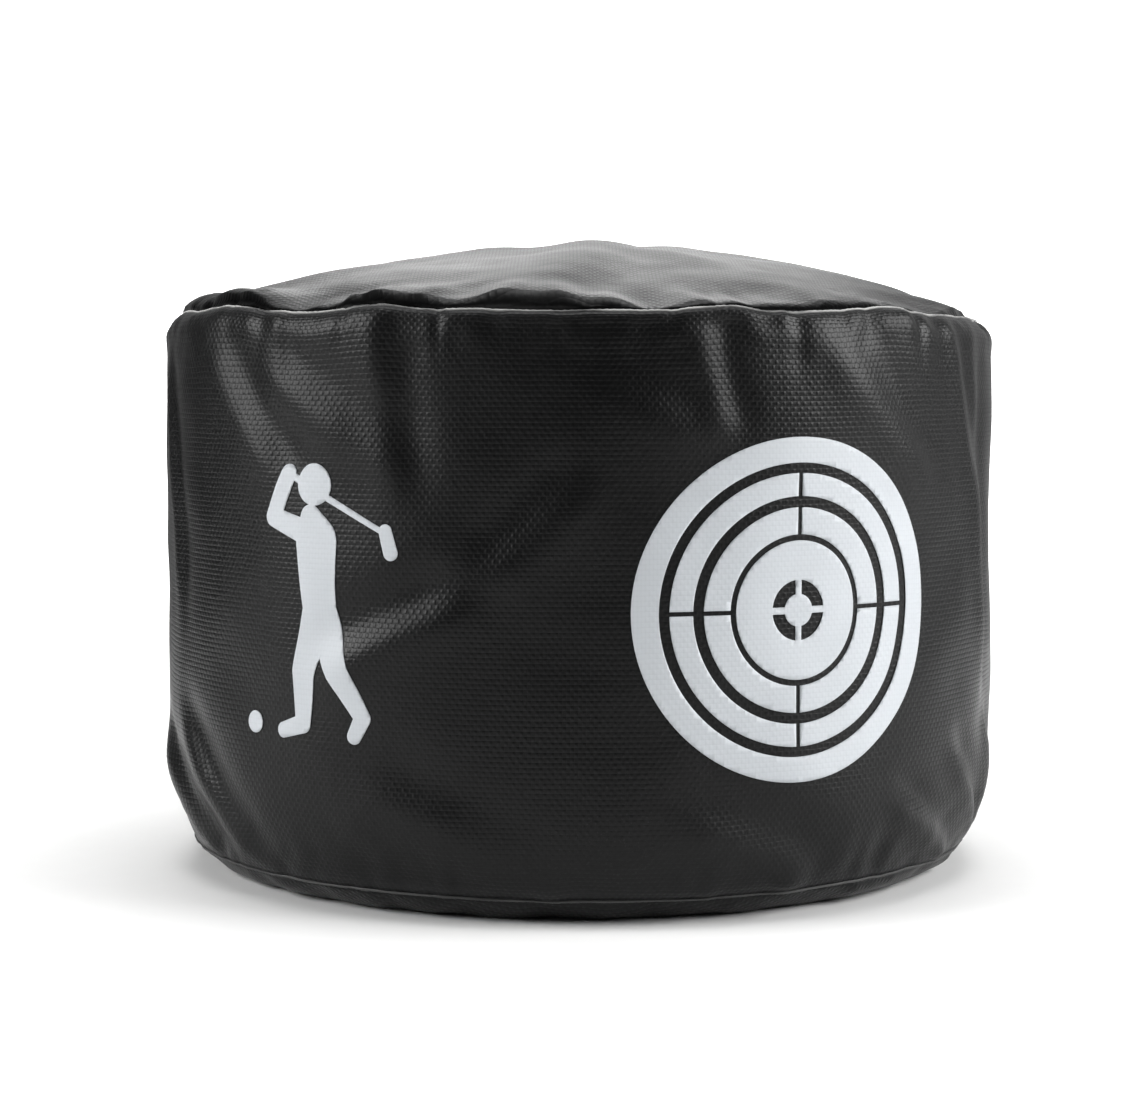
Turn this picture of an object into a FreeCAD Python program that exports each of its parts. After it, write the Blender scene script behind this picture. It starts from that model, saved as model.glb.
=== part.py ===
import FreeCAD, Part
import math
import os

# Free-standing golf impact bag: a drum of coated mesh cloth, packed with rolled towels, that is
# struck from the printed side. Millimetres, +Z up. The origin is the centre of the flat face that
# the bag rests on. The prints face -Y and the zip runs round the back, at +Y.
# Azimuths are in degrees about +Z from +X, so the front is -90 and the back is 90.

# Driving dimensions of the drum
BAG_DIAMETER = 440.0
WALL_HEIGHT = 274.0  # from the base seam to the top seam
BASE_DROP = 12.0  # how far the base bulges below its seam
CROWN_RISE = 38.0  # how far the top stands above its seam
CLOTH = 1.0

# Shape of the wall's two rounded ends
BASE_SEAM_RADIUS = 207.0
TOP_SEAM_RADIUS = 211.0
BEND_HEIGHT = 47.0
SHOULDER_HEIGHT = 11.0

# Seams
SEAM_ALLOWANCE = 12.5
BASE_ALLOWANCE_AZIMUTH = 140.0  # direction of the base's seam allowance in its cross-section
WALL_ALLOWANCE_ROOT = 1.18  # how far the wall's inner face stops short of the base's seam allowance
BASE_ALLOWANCE_ROOT = 0.88  # how far the base's inner face stops short of it
WELT_RADIUS = 1.1
THREAD = 0.5
STITCH_STANDOFF = 0.1

# Top and base panels
TOP_ROLL_RADIUS = 7.0
TOP_ROLL_LIFT = 2.0
BASE_FLAT_RADIUS = 185.0

# Back of the bag
BACK = 90.0
BACK_HALF_SPAN = 56.0
LAP_HALF_SPAN = 1.6
LAP_THREAD_PLACE = 1.2
LAP_THREAD_SPAN = 0.12
LAP_BASE_TRIM = 1.5
LAP_TOP_TRIM = 19.0

# Zip, set out from the middle of its teeth
ZIP_DROP = 40.0  # below the top seam
ZIP_MOUTH = 6.2
TAPE_EDGE = 4.05
TAPE_WIDTH = 12.0
TAPE_INNER_RADIUS = 218.1
TAPE_THICKNESS = 0.8
TAPE_HALF_SPAN = 54.0
TOPSTITCH_OFFSET = 2.8
PATCH_HALF_HEIGHT = 16.0
PATCH_START = 50.4
PATCH_SPAN = 3.8

# Moulded zip teeth
TOOTH_PITCH = 4.0
TOOTH_DEPTH = 3.2
TOOTH_HEAD_WIDTH = 1.8
TOOTH_HEAD_REACH = 1.1
TOOTH_CLAMP_WIDTH = 3.6
TOOTH_CLAMP_START = 1.2
TOOTH_CLAMP_END = 4.0
TEETH_FROM = -47.3
TEETH_TO = 49.0
STOP_WIDTH = 2.6
CLOSED_STOP_AZIMUTH = -49.4
OPEN_STOP_AZIMUTH = 50.0

# Zip slider and its pull
SLIDER_REST = -46.5
SLIDER_HALF_SPAN = 2.1
WING_HALF_HEIGHT = 5.4
WING_THICKNESS = 1.4
WING_GAP = 0.5
RAIL_HEIGHT = 1.0
RAIL_CLEARANCE = 0.3
NECK_SPAN = 0.6
NECK_HALF_HEIGHT = 1.0
PULL_BAR_RADIUS = 0.8
PULL_BAR_STANDOFF = 2.4
PULL_POST_INNER = 2.6
PULL_POST_WIDTH = 1.2
PULL_KNUCKLE_RADIUS = 1.9
PULL_BORE_RADIUS = 0.9
PULL_KNUCKLE_HALF_LENGTH = 2.3
PULL_THICKNESS = 1.6
PULL_HALF_WIDTH = 4.5
PULL_SHOULDER_DROP = 6.0
PULL_LENGTH = 27.0

# Prints
PRINT_GAP = 0.05
PRINT_THICKNESS = 0.3
TARGET_AZIMUTH = -62.6
TARGET_HEIGHT = 147.5
TARGET_RADIUS = 81.0
OUTER_RING = (1.0, 0.852)
MIDDLE_RING = (0.792, 0.659)
INNER_RING = (0.595, 0.439)
BULL = 0.404
HUB_RING = (0.176, 0.094)
DIVIDER_WIDTH = 2.1
HUB_BAR_WIDTH = 3.2
GOLFER_AZIMUTH = -125.0
GOLFER_HEIGHT = 153.5

# Filling
ROLL_COUNT = 6
ROLL_RADIUS = 70.0
ROLL_RING_RADIUS = 140.6
ROLL_BOTTOM = 24.0
ROLL_TOP_DROP = 15.0  # below the top seam
ROLL_EDGE = 10.0
BASE_TOWEL = (184.0, 1.3, 23.3)  # radius, bottom, top
BASE_TOWEL_EDGE = 6.0
CROWN_TOWEL_RADIUS = 195.0
CROWN_TOWEL_DROP = 14.0  # its underside, below the top seam
CROWN_TOWEL_EDGE = 10.0
CROWN_TOWEL_GAP = 2.3

# Worked out from the above
WALL_RADIUS = BAG_DIAMETER / 2
TOP_SEAM_Z = BASE_DROP + WALL_HEIGHT
APEX_Z = TOP_SEAM_Z + CROWN_RISE
ZIP_HEIGHT = TOP_SEAM_Z - ZIP_DROP
ROLL_TOP = TOP_SEAM_Z - ROLL_TOP_DROP
CROWN_TOWEL_BOTTOM = TOP_SEAM_Z - CROWN_TOWEL_DROP
BEND_TOP = BASE_DROP + BEND_HEIGHT
SHOULDER_Z = TOP_SEAM_Z - SHOULDER_HEIGHT
BEND_DEPTH = WALL_RADIUS - BASE_SEAM_RADIUS
SHOULDER_DEPTH = WALL_RADIUS - TOP_SEAM_RADIUS
BEND_RADIUS = (BEND_DEPTH**2 + BEND_HEIGHT**2) / (2 * BEND_DEPTH)
SHOULDER_RADIUS = (SHOULDER_DEPTH**2 + SHOULDER_HEIGHT**2) / (2 * SHOULDER_DEPTH)
BEND_ANGLE = -math.asin(BEND_HEIGHT / BEND_RADIUS)
SHOULDER_ANGLE = math.asin(SHOULDER_HEIGHT / SHOULDER_RADIUS)
ALLOWANCE_TIP = TOP_SEAM_RADIUS - SEAM_ALLOWANCE
ROLL_CENTRE_RADIUS = TOP_SEAM_RADIUS - TOP_ROLL_RADIUS
ROLL_CENTRE_Z = TOP_SEAM_Z + TOP_ROLL_LIFT
DOME_RISE = APEX_Z - ROLL_CENTRE_Z
DOME_RADIUS = (DOME_RISE**2 + ROLL_CENTRE_RADIUS**2 - TOP_ROLL_RADIUS**2) / (
    2 * (DOME_RISE - TOP_ROLL_RADIUS)
)
DOME_CENTRE_Z = APEX_Z - DOME_RADIUS
BASE_CURVE_DEPTH = BASE_SEAM_RADIUS - BASE_FLAT_RADIUS
BASE_CURVE_RADIUS = (BASE_CURVE_DEPTH**2 + BASE_DROP**2) / (2 * BASE_DROP)
TAPE_MIDDLE_RADIUS = TAPE_INNER_RADIUS + TAPE_THICKNESS / 2
TEETH_INNER_RADIUS = TAPE_MIDDLE_RADIUS - TOOTH_DEPTH / 2
TEETH_OUTER_RADIUS = TAPE_MIDDLE_RADIUS + TOOTH_DEPTH / 2
OUTER_WING_RADIUS = TEETH_OUTER_RADIUS + WING_GAP
INNER_WING_RADIUS = TEETH_INNER_RADIUS - WING_GAP
PULL_BAR_DISTANCE = OUTER_WING_RADIUS + WING_THICKNESS + PULL_BAR_STANDOFF

ORIGIN = FreeCAD.Vector(0, 0, 0)
UP = FreeCAD.Vector(0, 0, 1)
OUT = FreeCAD.Vector(1, 0, 0)
ALONG = FreeCAD.Vector(0, 1, 0)


# Cross-sections lie in the XZ plane and are turned about the bag's axis.
def spot(radius, height):
    return FreeCAD.Vector(radius, 0, height)


def straight(a, b):
    return Part.LineSegment(a, b).toShape()


def bow(a, middle, b):
    return Part.Arc(a, middle, b).toShape()


def chain(*points):
    return [straight(a, b) for a, b in zip(points, points[1:])]


def around(centre, radius, angle):
    return spot(centre.x + radius * math.cos(angle), centre.z + radius * math.sin(angle))


def round_bow(centre, radius, first, last):
    middle = (first + last) / 2
    return bow(around(centre, radius, first), around(centre, radius, middle), around(centre, radius, last))


def turned(edges, start=0.0, span=360.0):
    """A cross-section turned about the bag's axis, from start, over span degrees."""
    outline = Part.Wire(Part.__sortEdges__(edges))
    solid = Part.Face(outline).revolve(ORIGIN, UP, span)
    solid.rotate(ORIGIN, UP, start)
    return solid


def band(inner, outer, low, high, start, span):
    """A curved rectangular strip concentric with the bag."""
    corners = [spot(inner, low), spot(outer, low), spot(outer, high), spot(inner, high)]
    return turned(chain(*corners, corners[0]), start, span)


def block(radius, depth, width, low, high):
    """A square block centred on azimuth 0, its inner face at radius."""
    box = Part.makeBox(depth, width, high - low)
    box.translate(FreeCAD.Vector(radius, -width / 2, low))
    return box


def placed(shape, azimuth):
    """A shape built at azimuth 0, set at azimuth degrees from the back's centre line."""
    copy = shape.copy()
    copy.rotate(ORIGIN, UP, BACK + azimuth)
    return copy


# The wall's profile: base bend, straight stretch and shoulder.
BEND_CENTRE = spot(WALL_RADIUS - BEND_RADIUS, BEND_TOP)
SHOULDER_CENTRE = spot(WALL_RADIUS - SHOULDER_RADIUS, SHOULDER_Z)
BASE_SEAM = spot(BASE_SEAM_RADIUS, BASE_DROP)
TOP_SEAM = spot(TOP_SEAM_RADIUS, TOP_SEAM_Z)


def wall_run(offset, bottom, top, low=None, high=None):
    """The wall's profile, offset outward: its edges and its two ends.

    bottom and top are the angles at which the bend and the shoulder end. low or high cuts the
    profile off on its straight stretch instead.
    """
    edges = []
    first = spot(WALL_RADIUS + offset, BEND_TOP if low is None else low)
    last = spot(WALL_RADIUS + offset, SHOULDER_Z if high is None else high)
    edges += chain(first, last)
    if low is None:
        edges.append(round_bow(BEND_CENTRE, BEND_RADIUS + offset, bottom, 0))
        first = around(BEND_CENTRE, BEND_RADIUS + offset, bottom)
    if high is None:
        edges.append(round_bow(SHOULDER_CENTRE, SHOULDER_RADIUS + offset, 0, top))
        last = around(SHOULDER_CENTRE, SHOULDER_RADIUS + offset, top)
    return edges, first, last


def base_allowance():
    """The inward direction of the base's seam allowance, and the direction square to it."""
    angle = math.radians(BASE_ALLOWANCE_AZIMUTH)
    inward = spot(math.cos(angle), math.sin(angle))
    upward = spot(math.sin(angle), -math.cos(angle))
    return inward, upward


def wall_panel(start, span, low=None, high=None):
    """A length of the wall, with the seam allowances that are turned in at its sewn ends."""
    inner_bottom = BEND_ANGLE + WALL_ALLOWANCE_ROOT / (BEND_RADIUS - CLOTH)
    outside, foot, head = wall_run(0, BEND_ANGLE, SHOULDER_ANGLE, low, high)
    inside, inner_foot, inner_head = wall_run(-CLOTH, inner_bottom, SHOULDER_ANGLE, low, high)
    if low is None:
        inward, upward = base_allowance()
        tip = foot + inward * SEAM_ALLOWANCE
        closing = chain(foot, tip, tip + upward * CLOTH, inner_foot)
    else:
        closing = chain(foot, inner_foot)
    if high is None:
        closing += chain(head, spot(ALLOWANCE_TIP, head.z), spot(ALLOWANCE_TIP, inner_head.z), inner_head)
    else:
        closing += chain(head, inner_head)
    return turned(outside + inside + closing, start, span)


def wall_strip(inner, outer, start, span):
    """A strip that follows the wall from just above the base seam to just below the top seam."""
    bottom = BEND_ANGLE + math.radians(LAP_BASE_TRIM)
    top = SHOULDER_ANGLE - math.radians(LAP_TOP_TRIM)
    outside, foot, head = wall_run(outer, bottom, top)
    inside, inner_foot, inner_head = wall_run(inner, bottom, top)
    return turned(outside + inside + chain(foot, inner_foot) + chain(head, inner_head), start, span)


def top_panel():
    """The crowned top, with the roll at its rim and its seam allowance turned in."""
    roll_centre = spot(ROLL_CENTRE_RADIUS, ROLL_CENTRE_Z)
    dome_centre = spot(0, DOME_CENTRE_Z)
    meet = math.atan2(ROLL_CENTRE_Z - DOME_CENTRE_Z, ROLL_CENTRE_RADIUS)
    edges = []
    for offset in (0, -CLOTH):
        edges.append(round_bow(roll_centre, TOP_ROLL_RADIUS + offset, 0, meet))
        edges.append(round_bow(dome_centre, DOME_RADIUS + offset, meet, math.pi / 2))
    edges += chain(spot(0, APEX_Z), spot(0, APEX_Z - CLOTH))
    edges += chain(TOP_SEAM, spot(TOP_SEAM_RADIUS, ROLL_CENTRE_Z))
    inner_rim = TOP_SEAM_RADIUS - CLOTH
    allowance_top = TOP_SEAM_Z + CLOTH
    edges += chain(spot(inner_rim, ROLL_CENTRE_Z), spot(inner_rim, allowance_top),
                   spot(ALLOWANCE_TIP, allowance_top), spot(ALLOWANCE_TIP, TOP_SEAM_Z), TOP_SEAM)
    return turned(edges)


def base_panel():
    """The base, flat where it rests and curved up to its seam."""
    centre = spot(BASE_FLAT_RADIUS, BASE_CURVE_RADIUS)
    outer_end = -math.pi / 2 + math.asin(BASE_CURVE_DEPTH / BASE_CURVE_RADIUS)
    inner_radius = BASE_CURVE_RADIUS - CLOTH
    inner_end = outer_end - BASE_ALLOWANCE_ROOT / inner_radius
    inward, upward = base_allowance()
    tip = BASE_SEAM + inward * SEAM_ALLOWANCE
    edges = [round_bow(centre, BASE_CURVE_RADIUS, -math.pi / 2, outer_end)]
    edges.append(round_bow(centre, inner_radius, -math.pi / 2, inner_end))
    edges += chain(around(centre, BASE_CURVE_RADIUS, outer_end), tip, tip - upward * CLOTH,
                   around(centre, inner_radius, inner_end))
    edges += chain(spot(BASE_FLAT_RADIUS, 0), spot(0, 0), spot(0, CLOTH), spot(BASE_FLAT_RADIUS, CLOTH))
    return turned(edges)


def ring(radius, height, thickness):
    hoop = Part.makeTorus(radius, thickness)
    hoop.translate(spot(0, height))
    return hoop


def top_welt():
    """The welt that stands in the corner between the shoulder and the top's rim."""
    nest = WELT_RADIUS + STITCH_STANDOFF
    return ring(TOP_SEAM_RADIUS + nest, TOP_SEAM_Z + nest, WELT_RADIUS)


def base_welt():
    """The welt that stands out of the base seam."""
    inward, _ = base_allowance()
    centre = BASE_SEAM - inward * (WELT_RADIUS + STITCH_STANDOFF)
    return ring(centre.x, centre.z, WELT_RADIUS)


def top_thread():
    """The seam's two threads, on the two outer faces of the seam allowances."""
    radius = TOP_SEAM_RADIUS - SEAM_ALLOWANCE / 2
    reach = CLOTH + THREAD / 2 + STITCH_STANDOFF
    return Part.makeCompound([ring(radius, TOP_SEAM_Z + side * reach, THREAD / 2) for side in (-1, 1)])


def base_thread():
    inward, upward = base_allowance()
    middle = BASE_SEAM + inward * (SEAM_ALLOWANCE / 2)
    reach = CLOTH + THREAD / 2 + STITCH_STANDOFF
    centres = [middle + upward * (side * reach) for side in (-1, 1)]
    return Part.makeCompound([ring(centre.x, centre.z, THREAD / 2) for centre in centres])


# Back panels, laps and zip. side is -1 for the end where the zip is closed and 1 for the other.
def lap(side):
    start = BACK + side * BACK_HALF_SPAN - LAP_HALF_SPAN
    return wall_strip(STITCH_STANDOFF, STITCH_STANDOFF + CLOTH, start, 2 * LAP_HALF_SPAN)


def lap_thread(side):
    lines = []
    face = 2 * STITCH_STANDOFF + CLOTH
    for edge in (-1, 1):
        start = BACK + side * BACK_HALF_SPAN + edge * LAP_THREAD_PLACE - LAP_THREAD_SPAN / 2
        lines.append(wall_strip(face, face + THREAD, start, LAP_THREAD_SPAN))
    return Part.makeCompound(lines)


def zip_tape(side):
    """side is -1 for the tape below the teeth and 1 for the one above."""
    near = ZIP_HEIGHT + side * TAPE_EDGE
    far = near + side * TAPE_WIDTH
    outer = TAPE_INNER_RADIUS + TAPE_THICKNESS
    start = BACK - TAPE_HALF_SPAN
    return band(TAPE_INNER_RADIUS, outer, min(near, far), max(near, far), start, 2 * TAPE_HALF_SPAN)


def zip_thread(side):
    middle = ZIP_HEIGHT + side * (ZIP_MOUTH + TOPSTITCH_OFFSET)
    inner = WALL_RADIUS + STITCH_STANDOFF
    start = BACK - PATCH_START
    return band(inner, inner + THREAD, middle - THREAD / 2, middle + THREAD / 2, start, 2 * PATCH_START)


def end_patch(side):
    middle = BACK + side * (PATCH_START + PATCH_SPAN / 2)
    inner = WALL_RADIUS + STITCH_STANDOFF
    return band(inner, inner + CLOTH, ZIP_HEIGHT - PATCH_HALF_HEIGHT, ZIP_HEIGHT + PATCH_HALF_HEIGHT,
                middle - PATCH_SPAN / 2, PATCH_SPAN)


def tooth_span(side, near, far):
    """The heights of a stretch of tooth that runs from near to far towards its own tape."""
    return sorted((ZIP_HEIGHT + side * near, ZIP_HEIGHT + side * far))


def zip_tooth(side):
    head = block(TEETH_INNER_RADIUS, TOOTH_DEPTH, TOOTH_HEAD_WIDTH,
                 *tooth_span(side, -TOOTH_HEAD_REACH, TOOTH_CLAMP_START))
    clamp = block(TEETH_INNER_RADIUS, TOOTH_DEPTH, TOOTH_CLAMP_WIDTH,
                  *tooth_span(side, TOOTH_CLAMP_START, TOOTH_CLAMP_END))
    return head.fuse(clamp).removeSplitter()


def zip_teeth(side):
    """A row of teeth, the two rows half a pitch apart so that they mesh."""
    tooth = zip_tooth(side)
    pitch = math.degrees(TOOTH_PITCH / TAPE_MIDDLE_RADIUS)
    first = TEETH_FROM + (pitch / 2 if side > 0 else 0)
    count = int((TEETH_TO - first) / pitch) + 1
    return Part.makeCompound([placed(tooth, first + number * pitch) for number in range(count)])


def closed_end_stops():
    stops = []
    for side in (-1, 1):
        stop = block(TEETH_INNER_RADIUS, TOOTH_DEPTH, STOP_WIDTH,
                     *tooth_span(side, TOOTH_CLAMP_START, TOOTH_CLAMP_END))
        stops.append(placed(stop, CLOSED_STOP_AZIMUTH))
    return Part.makeCompound(stops)


def open_end_stop():
    stop = block(TEETH_INNER_RADIUS, TOOTH_DEPTH, STOP_WIDTH,
                 ZIP_HEIGHT - TOOTH_CLAMP_END, ZIP_HEIGHT + TOOTH_CLAMP_END)
    return placed(stop, OPEN_STOP_AZIMUTH)


def slider_wing(inner, rail_inner, rail_outer):
    """One plate of the slider, with the two rails that guide the tapes."""
    low = ZIP_HEIGHT - WING_HALF_HEIGHT
    high = ZIP_HEIGHT + WING_HALF_HEIGHT
    start = -SLIDER_HALF_SPAN
    span = 2 * SLIDER_HALF_SPAN
    wing = band(inner, inner + WING_THICKNESS, low, high, start, span)
    lower_rail = band(rail_inner, rail_outer, low, low + RAIL_HEIGHT, start, span)
    upper_rail = band(rail_inner, rail_outer, high - RAIL_HEIGHT, high, start, span)
    return [wing, lower_rail, upper_rail]


def slider_body():
    """The slider at azimuth 0: two plates joined by a neck, and the bar that carries the pull."""
    tape_outer = TAPE_INNER_RADIUS + TAPE_THICKNESS
    pieces = slider_wing(OUTER_WING_RADIUS, tape_outer + RAIL_CLEARANCE, OUTER_WING_RADIUS)
    pieces += slider_wing(INNER_WING_RADIUS - WING_THICKNESS, INNER_WING_RADIUS,
                          TAPE_INNER_RADIUS - RAIL_CLEARANCE)
    pieces.append(band(INNER_WING_RADIUS, OUTER_WING_RADIUS, ZIP_HEIGHT - NECK_HALF_HEIGHT,
                       ZIP_HEIGHT + NECK_HALF_HEIGHT, -SLIDER_HALF_SPAN, NECK_SPAN))
    half_bar = PULL_POST_INNER + PULL_POST_WIDTH
    bar = Part.makeCylinder(PULL_BAR_RADIUS, 2 * half_bar,
                            FreeCAD.Vector(PULL_BAR_DISTANCE, -half_bar, ZIP_HEIGHT), ALONG)
    pieces.append(bar)
    post_foot = OUTER_WING_RADIUS + WING_THICKNESS / 2
    for side in (-1, 1):
        post = block(post_foot, PULL_BAR_DISTANCE - post_foot, PULL_POST_WIDTH,
                     ZIP_HEIGHT - PULL_BAR_RADIUS, ZIP_HEIGHT + PULL_BAR_RADIUS)
        post.translate(ALONG * (side * (PULL_POST_INNER + PULL_POST_WIDTH / 2)))
        pieces.append(post)
    return pieces[0].multiFuse(pieces[1:]).removeSplitter()


def pull_tab():
    """The pull at azimuth 0, hanging down from the slider's bar."""
    centre = FreeCAD.Vector(PULL_BAR_DISTANCE, 0, ZIP_HEIGHT)
    end = centre - ALONG * PULL_KNUCKLE_HALF_LENGTH
    knuckle = Part.makeCylinder(PULL_KNUCKLE_RADIUS, 2 * PULL_KNUCKLE_HALF_LENGTH, end, ALONG)
    bore = Part.makeCylinder(PULL_BORE_RADIUS, 2 * PULL_KNUCKLE_HALF_LENGTH, end, ALONG)
    back = centre - OUT * (PULL_THICKNESS / 2)

    def corner(across, drop):
        return back + ALONG * across - UP * drop

    right = chain(corner(0, 0), corner(PULL_KNUCKLE_HALF_LENGTH, 0),
                  corner(PULL_KNUCKLE_HALF_LENGTH, PULL_KNUCKLE_RADIUS),
                  corner(PULL_HALF_WIDTH, PULL_SHOULDER_DROP), corner(PULL_HALF_WIDTH, PULL_LENGTH))
    left = chain(corner(0, 0), corner(-PULL_KNUCKLE_HALF_LENGTH, 0),
                 corner(-PULL_KNUCKLE_HALF_LENGTH, PULL_KNUCKLE_RADIUS),
                 corner(-PULL_HALF_WIDTH, PULL_SHOULDER_DROP), corner(-PULL_HALF_WIDTH, PULL_LENGTH))
    tip = bow(corner(PULL_HALF_WIDTH, PULL_LENGTH), corner(0, PULL_LENGTH + PULL_HALF_WIDTH),
              corner(-PULL_HALF_WIDTH, PULL_LENGTH))
    outline = Part.Wire(Part.__sortEdges__(right + left + [tip]))
    plate = Part.Face(outline).extrude(OUT * PULL_THICKNESS)
    return knuckle.fuse(plate).cut(bore).removeSplitter()


# Prints: flat outlines in the YZ plane, y to the right and z up, pressed onto the wall.
def disc(radius, across=0.0, up=0.0):
    circle = Part.makeCircle(radius, FreeCAD.Vector(0, across, up), OUT)
    return Part.Face(Part.Wire(circle))


def annulus(outer, inner):
    return disc(outer * TARGET_RADIUS).cut(disc(inner * TARGET_RADIUS))


def cross(width):
    """Two crossed bars, wider than the target."""
    bars = []
    for wide, tall in ((2 * TARGET_RADIUS, width), (width, 2 * TARGET_RADIUS)):
        signs = ((-1, -1), (1, -1), (1, 1), (-1, 1))
        corners = [FreeCAD.Vector(0, y * wide / 2, z * tall / 2) for y, z in signs]
        bars.append(Part.Face(Part.makePolygon(corners + corners[:1])))
    return bars[0].fuse(bars[1])


def target_faces():
    divider = cross(DIVIDER_WIDTH)
    hub_gaps = annulus(*HUB_RING).cut(cross(HUB_BAR_WIDTH))
    return [annulus(*OUTER_RING), annulus(*MIDDLE_RING).cut(divider), annulus(*INNER_RING).cut(divider),
            disc(BULL * TARGET_RADIUS).cut(hub_gaps)]


def limb(first, last):
    """A tapered limb with round ends; each end is (across, up, radius)."""
    y1, z1, r1 = first
    y2, z2, r2 = last
    length = math.hypot(y2 - y1, z2 - z1)
    heading = math.atan2(z2 - z1, y2 - y1)
    lean = math.acos((r1 - r2) / length)

    def rim(y, z, radius, angle):
        return FreeCAD.Vector(0, y + radius * math.cos(angle), z + radius * math.sin(angle))

    upper, lower = heading + lean, heading - lean
    edges = [straight(rim(y1, z1, r1, upper), rim(y2, z2, r2, upper)),
             bow(rim(y2, z2, r2, upper), rim(y2, z2, r2, heading), rim(y2, z2, r2, lower)),
             straight(rim(y2, z2, r2, lower), rim(y1, z1, r1, lower)),
             bow(rim(y1, z1, r1, lower), rim(y1, z1, r1, heading + math.pi), rim(y1, z1, r1, upper))]
    return Part.Face(Part.Wire(Part.__sortEdges__(edges)))


# A generic figure at the finish of a swing. Each joint of the body is (across, up, radius).
NECK = (-3.0, 37.0, 5.5)
CHEST = (1.0, 25.0, 12.0)
HIPS = (3.0, -7.0, 9.5)
FRONT_KNEE = (-6.0, -37.0, 7.0)
FRONT_ANKLE = (-7.0, -62.0, 4.6)
FRONT_TOE = (-20.0, -66.0, 3.8)
REAR_KNEE = (15.0, -36.0, 6.6)
REAR_ANKLE = (28.0, -57.0, 4.4)
REAR_TOE = (23.0, -66.0, 3.8)
SHOULDER = (-5.0, 29.0, 6.0)
ELBOW = (-26.0, 36.0, 4.8)
HANDS = (-17.0, 57.0, 4.4)
CLUB_GRIP = (-17.0, 57.0, 1.8)
CLUB_NECK = (40.0, 30.0, 1.3)
CLUB_HEEL = (40.0, 31.0, 3.4)
CLUB_TOE = (43.0, 21.0, 3.6)
HEAD = (-1.0, 52.0, 10.0)
BALL = (-41.0, -64.0, 5.4)
LIMBS = (
    (NECK, CHEST), (CHEST, HIPS), (HIPS, FRONT_KNEE), (FRONT_KNEE, FRONT_ANKLE),
    (FRONT_ANKLE, FRONT_TOE), (HIPS, REAR_KNEE), (REAR_KNEE, REAR_ANKLE), (REAR_ANKLE, REAR_TOE),
    (SHOULDER, ELBOW), (ELBOW, HANDS), (CLUB_GRIP, CLUB_NECK), (CLUB_HEEL, CLUB_TOE),
)


def golfer_faces():
    rounds = [disc(radius, across, up) for across, up, radius in (HEAD, BALL)]
    return [limb(first, last) for first, last in LIMBS] + rounds


def pressed(faces, azimuth, height):
    """Flat faces pressed onto the wall as a thin film."""
    inner = WALL_RADIUS + PRINT_GAP
    shell = band(inner, inner + PRINT_THICKNESS, BASE_DROP, TOP_SEAM_Z, azimuth - 90, 180)
    bars = [face.extrude(OUT * BAG_DIAMETER) for face in faces]
    stamp = bars[0].multiFuse(bars[1:]).removeSplitter()
    stamp.translate(UP * height)
    stamp.rotate(ORIGIN, UP, azimuth)
    return Part.makeCompound(stamp.common(shell).Solids)


# Filling
def soft_cylinder(radius, bottom, top, edge, x=0.0, y=0.0):
    body = Part.makeCylinder(radius, top - bottom, FreeCAD.Vector(x, y, bottom))
    rims = [e for e in body.Edges if isinstance(e.Curve, Part.Circle)]
    return body.makeFillet(edge, rims)


def filling_roll(number):
    """Roll 1 stands in the middle and the others stand round it."""
    if number == 1:
        return soft_cylinder(ROLL_RADIUS, ROLL_BOTTOM, ROLL_TOP, ROLL_EDGE)
    angle = 2 * math.pi * (number - 2) / ROLL_COUNT
    x = ROLL_RING_RADIUS * math.cos(angle)
    y = ROLL_RING_RADIUS * math.sin(angle)
    return soft_cylinder(ROLL_RADIUS, ROLL_BOTTOM, ROLL_TOP, ROLL_EDGE, x, y)


def crown_towel():
    """The towels folded flat over the rolls, under the crowned top."""
    top_radius = DOME_RADIUS - CLOTH - CROWN_TOWEL_GAP
    centre = spot(0, DOME_CENTRE_Z)
    rim_angle = math.acos(CROWN_TOWEL_RADIUS / top_radius)
    corner = spot(CROWN_TOWEL_RADIUS - CROWN_TOWEL_EDGE, CROWN_TOWEL_BOTTOM + CROWN_TOWEL_EDGE)
    edges = [round_bow(centre, top_radius, rim_angle, math.pi / 2)]
    edges.append(round_bow(corner, CROWN_TOWEL_EDGE, -math.pi / 2, 0))
    edges += chain(around(centre, top_radius, rim_angle), spot(CROWN_TOWEL_RADIUS, corner.z))
    edges += chain(spot(corner.x, CROWN_TOWEL_BOTTOM), spot(0, CROWN_TOWEL_BOTTOM),
                   around(centre, top_radius, math.pi / 2))
    return turned(edges)


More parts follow.
